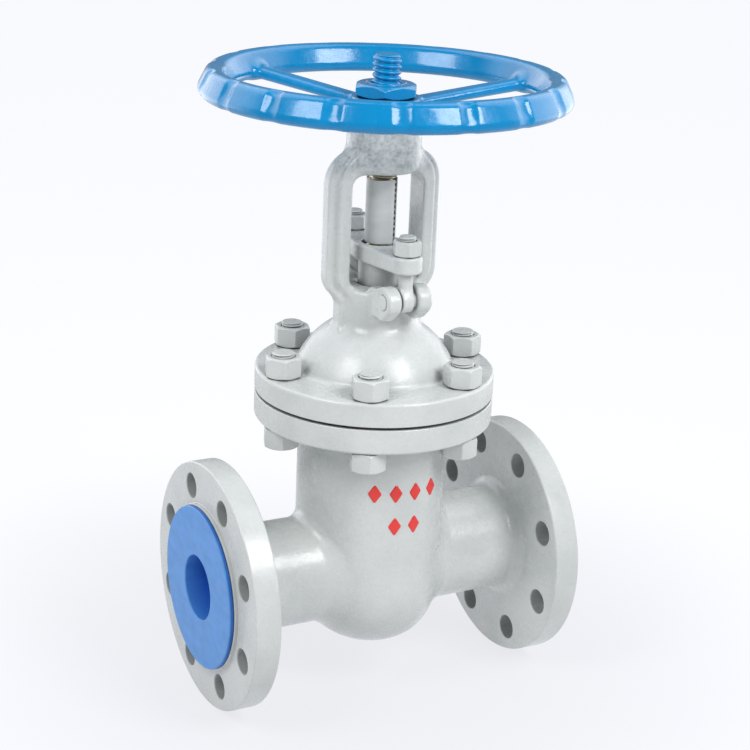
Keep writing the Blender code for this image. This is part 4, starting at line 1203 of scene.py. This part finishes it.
def gland_bushing():
    low, high = edges("gland_bushing")
    shoulder, spigot_r = PLATE_LOW.z - GAP, 12.5
    ring = turned_ring("bushing", [
        (spigot_r, high.z, 0.5), (spigot_r, shoulder, 0.3), (high.x, shoulder, 0.8), (high.x, low.z, 0.6),
        (STEM_BORE_R, low.z, 0.4), (STEM_BORE_R, high.z, 0.6),
    ])
    hand_over(ring, "gland_bushing", "turned", "turned", "gland")


def eyebolt_field(x, y, z):
    """A forged eye across X with its shank growing out of it."""
    eye_r, eye_half, off_centre, shank_r, shank_tall = 8.3, 4.5, 0.8, 5.1, 28
    eye = thick(np.hypot(y, z - PIN_Z) - eye_r, x + off_centre, eye_half, 1.6)
    shank = np.maximum(np.hypot(x, y) - shank_r, np.maximum(PIN_Z - z, z - PIN_Z - shank_tall))
    return fillet_union(eye, shank, 3.0)


def eyebolt():
    """One eyebolt on the stem's axis."""
    top, start, radius, pitch = BOLT_HIGH.z, PIN_Z + 22, 6.0, 1.75
    bolt = cast("eye", eyebolt_field, (-9, -12, PIN_Z - 12), (9, 12, PIN_Z + 30), cell=0.6)
    thread = threaded_rod("bolt_thread", radius, pitch, sharp_ridge(1.05), start, top + 3)
    thread = common(thread, lathe("bolt_reach", rounded([
        (0, top), (radius, top, 1.0), (radius, start + 2), (radius - 1.2, start + 0.8), (0, start + 0.8),
    ]), 40))
    hole = placed(cylinder("eye_hole", PIN_R + GAP, -20, 20, 48, "X"), z=PIN_Z)
    return cut(join(bolt, thread), hole)


def eyebolts():
    for name, y in (("front", -BOLT_Y), ("back", BOLT_Y)):
        hand_over(placed(eyebolt(), y=y), f"eyebolt_{name}", "forged", "turned")
        pin_node = f"eyebolt_pin_{name}"
        low, high = edges(pin_node)
        half = (high.x - low.x) / 2
        pin = placed(turned_bar("pin", PIN_R, -half, half, 0.9, 0.9, 64, "X"), 0, y, PIN_Z)
        hand_over(pin, pin_node, "turned", "turned")


def gland_nuts():
    low, high = edges("gland_nut_front")
    nut = spare_mesh(hexagon_nut("gland_nut", 18.0, high.z - low.z, 6.3, corner=0.8, bevel=0.6))
    for name, y, turn in (("front", -BOLT_Y, 0.20), ("back", BOLT_Y, 0.75)):
        placed_copy(nut, (0, y, low.z), turn, f"gland_nut_{name}", "fine", "turned", "gland")


# ---------------------------------------------------------------- drive


def yoke_nut():
    low, high = edges("yoke_nut")
    shoulder, flange = edges("yoke_nut_retainer")[0].z - GAP, YOKE_NUT_FLANGE_BOTTOM
    drive_r, bore_r = 13.5, STEM_BORE_R + 0.3
    nut = turned_ring("nut", [
        (drive_r, high.z, 0.8), (drive_r, shoulder), (high.x, shoulder, 0.4), (high.x, flange, 0.4),
        (YOKE_NUT_R, flange), (YOKE_NUT_R, low.z, 0.8), (bore_r, low.z, 0.6), (bore_r, high.z, 0.8),
    ])
    slot = block("nut_keyway", (11.9, -KEYWAY_HALF, KEY_LOW.z - 0.6), (20, KEYWAY_HALF, KEY_HIGH.z + 0.4))
    hand_over(cut(nut, slot), "yoke_nut", "turned", "yoke_nut", "wheel")


def yoke_nut_retainer():
    """A threaded ring with two notches for a pin spanner."""
    low, high = edges("yoke_nut_retainer")
    ring = turned_ring("retainer", [
        (high.x, high.z, 0.6), (high.x, low.z, 0.4), (YOKE_NUT_R, low.z, 0.4), (YOKE_NUT_R, high.z, 0.6),
    ])
    deep, half = 3, 2.5
    notch = block("notch", (high.x - deep, -half, high.z - deep), (high.x + deep, half, high.z + deep))
    hand_over(cut(ring, around(notch, "Z", 2)), "yoke_nut_retainer", "turned", "steel")


def rim_section(u, v):
    """The rim's section, a triangle with round corners: u is out from its middle, v up from its base."""
    foot_r, top_r = RIM_HALF_WIDE / 2, 7.2
    foot_u, top_v = RIM_HALF_WIDE - foot_r, RIM_TALL - top_r
    reach = math.hypot(foot_u, top_v - foot_r)
    lean = math.atan2(foot_u, top_v - foot_r) - math.asin((top_r - foot_r) / reach)
    side_u, side_v = math.cos(lean), math.sin(lean)
    from_foot_u, from_foot_v = u - foot_u, v - foot_r
    along = from_foot_v * side_u - from_foot_u * side_v
    side = np.maximum(from_foot_u * side_u + from_foot_v * side_v - foot_r, -v)
    foot = np.where(from_foot_u > 0, np.hypot(from_foot_u, from_foot_v) - foot_r, -v)
    top = np.hypot(u, v - top_v) - top_r
    length = (top_v - foot_r) * side_u + foot_u * side_v
    return np.where(along < 0, foot, np.where(along < length, side, top))


def rim_field(x, y, z):
    """The rim, with shallow scallops down its outer side, shallower still at its base."""
    radius = np.hypot(x, y)
    pitch = 2 * math.pi / NOTCHES
    angle = np.arctan2(y, x) - NOTCH_START
    arc = ((angle + pitch / 2) % pitch - pitch / 2) * RIM_R
    depth = NOTCH_DEEP * (1 - (2 * arc / NOTCH_WIDE) ** 2)
    scoop = (depth + np.hypot(depth, NOTCH_SOFT)) / 2
    outward = np.clip((radius - RIM_R) / NOTCH_FADE, 0, 1)
    above_base = np.clip((z - RIM_BOTTOM) / RIM_HALF_WIDE, 0.25, 1)
    fade = above_base * outward ** 2 * (3 - 2 * outward)
    return rim_section(np.abs(radius - RIM_R), z - RIM_BOTTOM) + scoop * fade


def spoke_field(x, y, z, angle):
    """A bar from the hub out to the rim, rising and getting slimmer on the way."""
    along = x * math.cos(angle) + y * math.sin(angle)
    across = y * math.cos(angle) - x * math.sin(angle)
    share = np.clip((along - SPOKE_INNER_R) / (RIM_R - SPOKE_INNER_R), 0, 1)
    height = z - SPOKE_Z - SPOKE_RISE * share
    near = superellipse(across, height, 7.8, 4.0, SPOKE_POWER)
    far = superellipse(across, height, 6.4, 4.6, SPOKE_POWER)
    return np.maximum(near + (far - near) * share, np.maximum(SPOKE_INNER_R - along, along - RIM_R))


def wheel_field(x, y, z):
    middle = (HUB_LOW + HUB_HIGH) / 2
    shape = thick(np.hypot(x, y) - HUB_R, z - middle, HUB_HIGH - middle, 1.8)
    for angle in SPOKE_ANGLES:
        shape = fillet_union(shape, spoke_field(x, y, z, angle), 4.0)
    shape = fillet_union(shape, rim_field(x, y, z), 6.0)
    return np.maximum(shape, HUB_LOW - z)


def handwheel():
    reach = WHEEL_R + 3
    low, high = (-reach, -reach, HUB_LOW - 2), (reach, reach, WHEEL_HIGH.z + 2)
    wheel = cast("wheel", wheel_field, low, high, cell=1.1)
    bottom, top = HUB_LOW - REACH, HUB_HIGH + REACH
    bore = cylinder("hub_bore", WHEEL_BORE_R, bottom, top, 96)
    slot = block("hub_keyway", (0, -KEYWAY_HALF, bottom), (KEY_HIGH.x + GAP, KEYWAY_HALF, top))
    hand_over(cut(wheel, bore, slot), "handwheel", "cast", "blue", "wheel")


def wheel_fastening():
    low, high = edges("handwheel_nut")
    nut = hexagon_nut("wheel_nut", 41.0, high.z - low.z, WHEEL_BORE_R, corner=1.0, bevel=0.8, chamfer=0.8)
    hand_over(placed(nut, z=low.z), "handwheel_nut", "fine", "blue", "wheel")
    hand_over(block("key", KEY_LOW, KEY_HIGH, 0.4), "handwheel_key", "ground", "steel", "wheel")


# ---------------------------------------------------------------- shipping pieces


def cap_profile():
    """A disc over the raised face, and a blind cup with fins that grip the bore."""
    back, front, disc_r, seat = CAP_LOW.x, CAP_HIGH.x, CAP_HIGH.z, FACE_X + GAP
    recess_r, tube_r, fin_r, floor = 23.5, 26.0, 32.1, back + 2.5
    profile = [(0, floor), (recess_r - 0.6, floor, 1.5), (recess_r, front, 1.0), (disc_r, front, 1.1),
               (disc_r, seat, 0.4), (tube_r, seat, 0.8)]
    for i in range(3):
        root = FACE_X - 4.5 - 4.8 * i
        profile += [(tube_r, root), (fin_r, root - 0.9), (fin_r, root - 1.6), (tube_r, root - 2.2)]
    return rounded(profile + [(tube_r - 0.4, back, 1.0), (0, back)], steps=5)


def flange_caps():
    for name, side in SIDES:
        cap = to_side(lathe("cap", cap_profile(), 160, "X"), side)
        hand_over(cap, f"flange_cap_{name}", "moulded", "cap", f"cap_{name}")


def stem_sleeve():
    """A thin plastic sleeve, split down one side, slightly uneven at its cut top."""
    low, high = edges("stem_sleeve")
    outer, inner, slot_wide, slot_angle, steps = 11.0, STEM_BORE_R, 9.0, math.radians(-40), 60
    gap = math.asin(slot_wide / 2 / outer)
    columns = []
    for i in range(steps + 1):
        angle = slot_angle + gap + (2 * math.pi - 2 * gap) * i / steps
        top = high.z - 0.25 + 0.2 * math.sin(3 * angle) + 0.05 * math.sin(11 * angle)
        profile = [(outer, low.z, 0.15), (inner, low.z, 0.15), (inner, top, 0.2), (outer, top, 0.2)]
        columns.append([(r * math.cos(angle), r * math.sin(angle), z) for r, z in rounded(profile, True, 2)])
    hand_over(capped_solid("sleeve", columns), "stem_sleeve", "split", "sleeve")


# ---------------------------------------------------------------- studio

CAMERA_PLACE = (-0.5849, -1.0854, 0.6577)
CAMERA_YAW, CAMERA_PITCH, CAMERA_ROLL = (math.radians(v) for v in (28.352, 18.979, 2.457))  # yaw from +Y
CAMERA_LENS, CAMERA_FILM = 86.8, 36
AWAY = (math.sin(CAMERA_YAW), math.cos(CAMERA_YAW), 0)  # level, from the camera to the valve
RIGHT = (math.cos(CAMERA_YAW), -math.sin(CAMERA_YAW), 0)
PANEL_LIGHT = 2.1


def mirrored_room(tree, direction):
    """How bright the room is where paint mirrors it, and the white panels at its two sides."""
    level = vectors(tree, "NORMALIZE", vectors(tree, "MULTIPLY", direction, (1, 1, 0)))
    ahead = vectors(tree, "DOT_PRODUCT", level, AWAY)
    aside = maths(tree, "ABSOLUTE", vectors(tree, "DOT_PRODUCT", level, RIGHT))
    panels = maths(tree, "MULTIPLY", remap(tree, aside, 0.25, 0.5), remap(tree, ahead, -0.15, 0.15))
    return remap(tree, ahead, -0.3, 0.4, 0.08, 0.25), panels


def seen_or_mirrored(tree, seen, mirrored):
    """The first brightness for the camera and for soft light, and the second for reflections."""
    return blended(tree, add(tree, "LightPath").outputs["Is Glossy Ray"], seen, mirrored)


def studio_material():
    """Pale floor that glows a little, so that the valve's shadow on it stays soft, and glows less round the
    valve's foot as a painted shadow.
    """
    material, tree, shader = new_material("studio_floor", (0.12, 0.12, 0.125), 1.0)
    place = place_on(tree)
    away = vectors(tree, "LENGTH", place)
    # painted shadow: the floor's glow is dimmer near the valve's foot
    glow_and_painted_shadow = remap(tree, away, 0.08, 0.50, 0.78, 0.925, interpolation_type="SMOOTHSTEP")
    room, panels = mirrored_room(tree, place)
    panels = maths(tree, "MULTIPLY", panels, remap(tree, away, 0.6, 1.6, 0.0, PANEL_LIGHT))
    room = maths(tree, "ADD", room, remap(tree, away, 0.3, 1.0, 0.6, 0.0))
    strength = seen_or_mirrored(tree, glow_and_painted_shadow, maths(tree, "ADD", room, panels))
    put(shader, {"Specular IOR Level": 0.0, "Emission Color": (0.955, 0.965, 1.0, 1),
                 "Emission Strength": strength})
    return material


def studio_air():
    """A pale room, bright behind the valve and dimmer behind the camera."""
    world = bpy.data.worlds.new("studio_air")
    world.use_nodes = True
    tree = world.node_tree
    direction = add(tree, "TexCoord").outputs["Generated"]
    seen = remap(tree, vectors(tree, "DOT_PRODUCT", direction, AWAY), -0.2, 0.6, 0.28, 0.85)
    room, panels = mirrored_room(tree, direction)
    mirrored = maths(tree, "ADD", room, maths(tree, "MULTIPLY", panels, PANEL_LIGHT))
    put(tree.nodes["Background"], {"Color": (0.94, 0.95, 1.0, 1),
                                   "Strength": seen_or_mirrored(tree, seen, mirrored)})
    bpy.context.scene.world = world


def studio():
    size = 12.0
    mesh = bpy.data.meshes.new("floor")
    corners = [(-size, -size, 0), (size, -size, 0), (size, size, 0), (-size, size, 0)]
    mesh.from_pydata(corners, [], [(0, 1, 2, 3)])
    mesh.materials.append(studio_material())
    linked("floor", mesh)
    studio_air()
    bpy.context.scene.view_settings.view_transform = "Standard"


def softbox(name, azimuth, power, elevation, distance=1.6, wide=0.62, tall=0.72):
    """A rectangular lamp aimed at the valve. Azimuth 0 is in front of it, and 90 on its right."""
    light = bpy.data.lights.new(name, "AREA")
    light.shape = "RECTANGLE"
    light.size, light.size_y = wide, tall
    light.energy = power
    lamp = linked(name, light)
    a, e = math.radians(azimuth), math.radians(elevation)
    direction = Vector((math.sin(a) * math.cos(e), -math.cos(a) * math.cos(e), math.sin(e)))
    lamp.location = Vector((0, 0, 0.22)) + direction * distance
    lamp.rotation_euler = direction.to_track_quat("Z", "Y").to_euler()


def camera():
    """The photograph's viewpoint."""
    ahead = Vector(AWAY) * math.cos(CAMERA_PITCH) - Vector((0, 0, math.sin(CAMERA_PITCH)))
    level = Vector(RIGHT)
    upright = level.cross(ahead)
    right = level * math.cos(CAMERA_ROLL) + upright * math.sin(CAMERA_ROLL)
    up = upright * math.cos(CAMERA_ROLL) - level * math.sin(CAMERA_ROLL)
    data = bpy.data.cameras.new("camera")
    data.lens = CAMERA_LENS
    data.sensor_width = CAMERA_FILM
    eye = linked("camera", data)
    eye.matrix_world = Matrix.Translation(CAMERA_PLACE) @ Matrix((right, up, -ahead)).transposed().to_4x4()
    bpy.context.scene.camera = eye


for build in (valve_body, seat_rings, wedge_gate, bonnet_gasket, bonnet_yoke, bolting, stem, packing,
              backseat_bushing, gland_flange, gland_bushing, eyebolts, gland_nuts, yoke_nut,
              yoke_nut_retainer, handwheel, wheel_fastening, flange_caps, stem_sleeve, studio):
    build()
softbox("softbox_left", azimuth=-74, elevation=43, power=12)
softbox("softbox_right", azimuth=21, elevation=42, power=17)
camera()
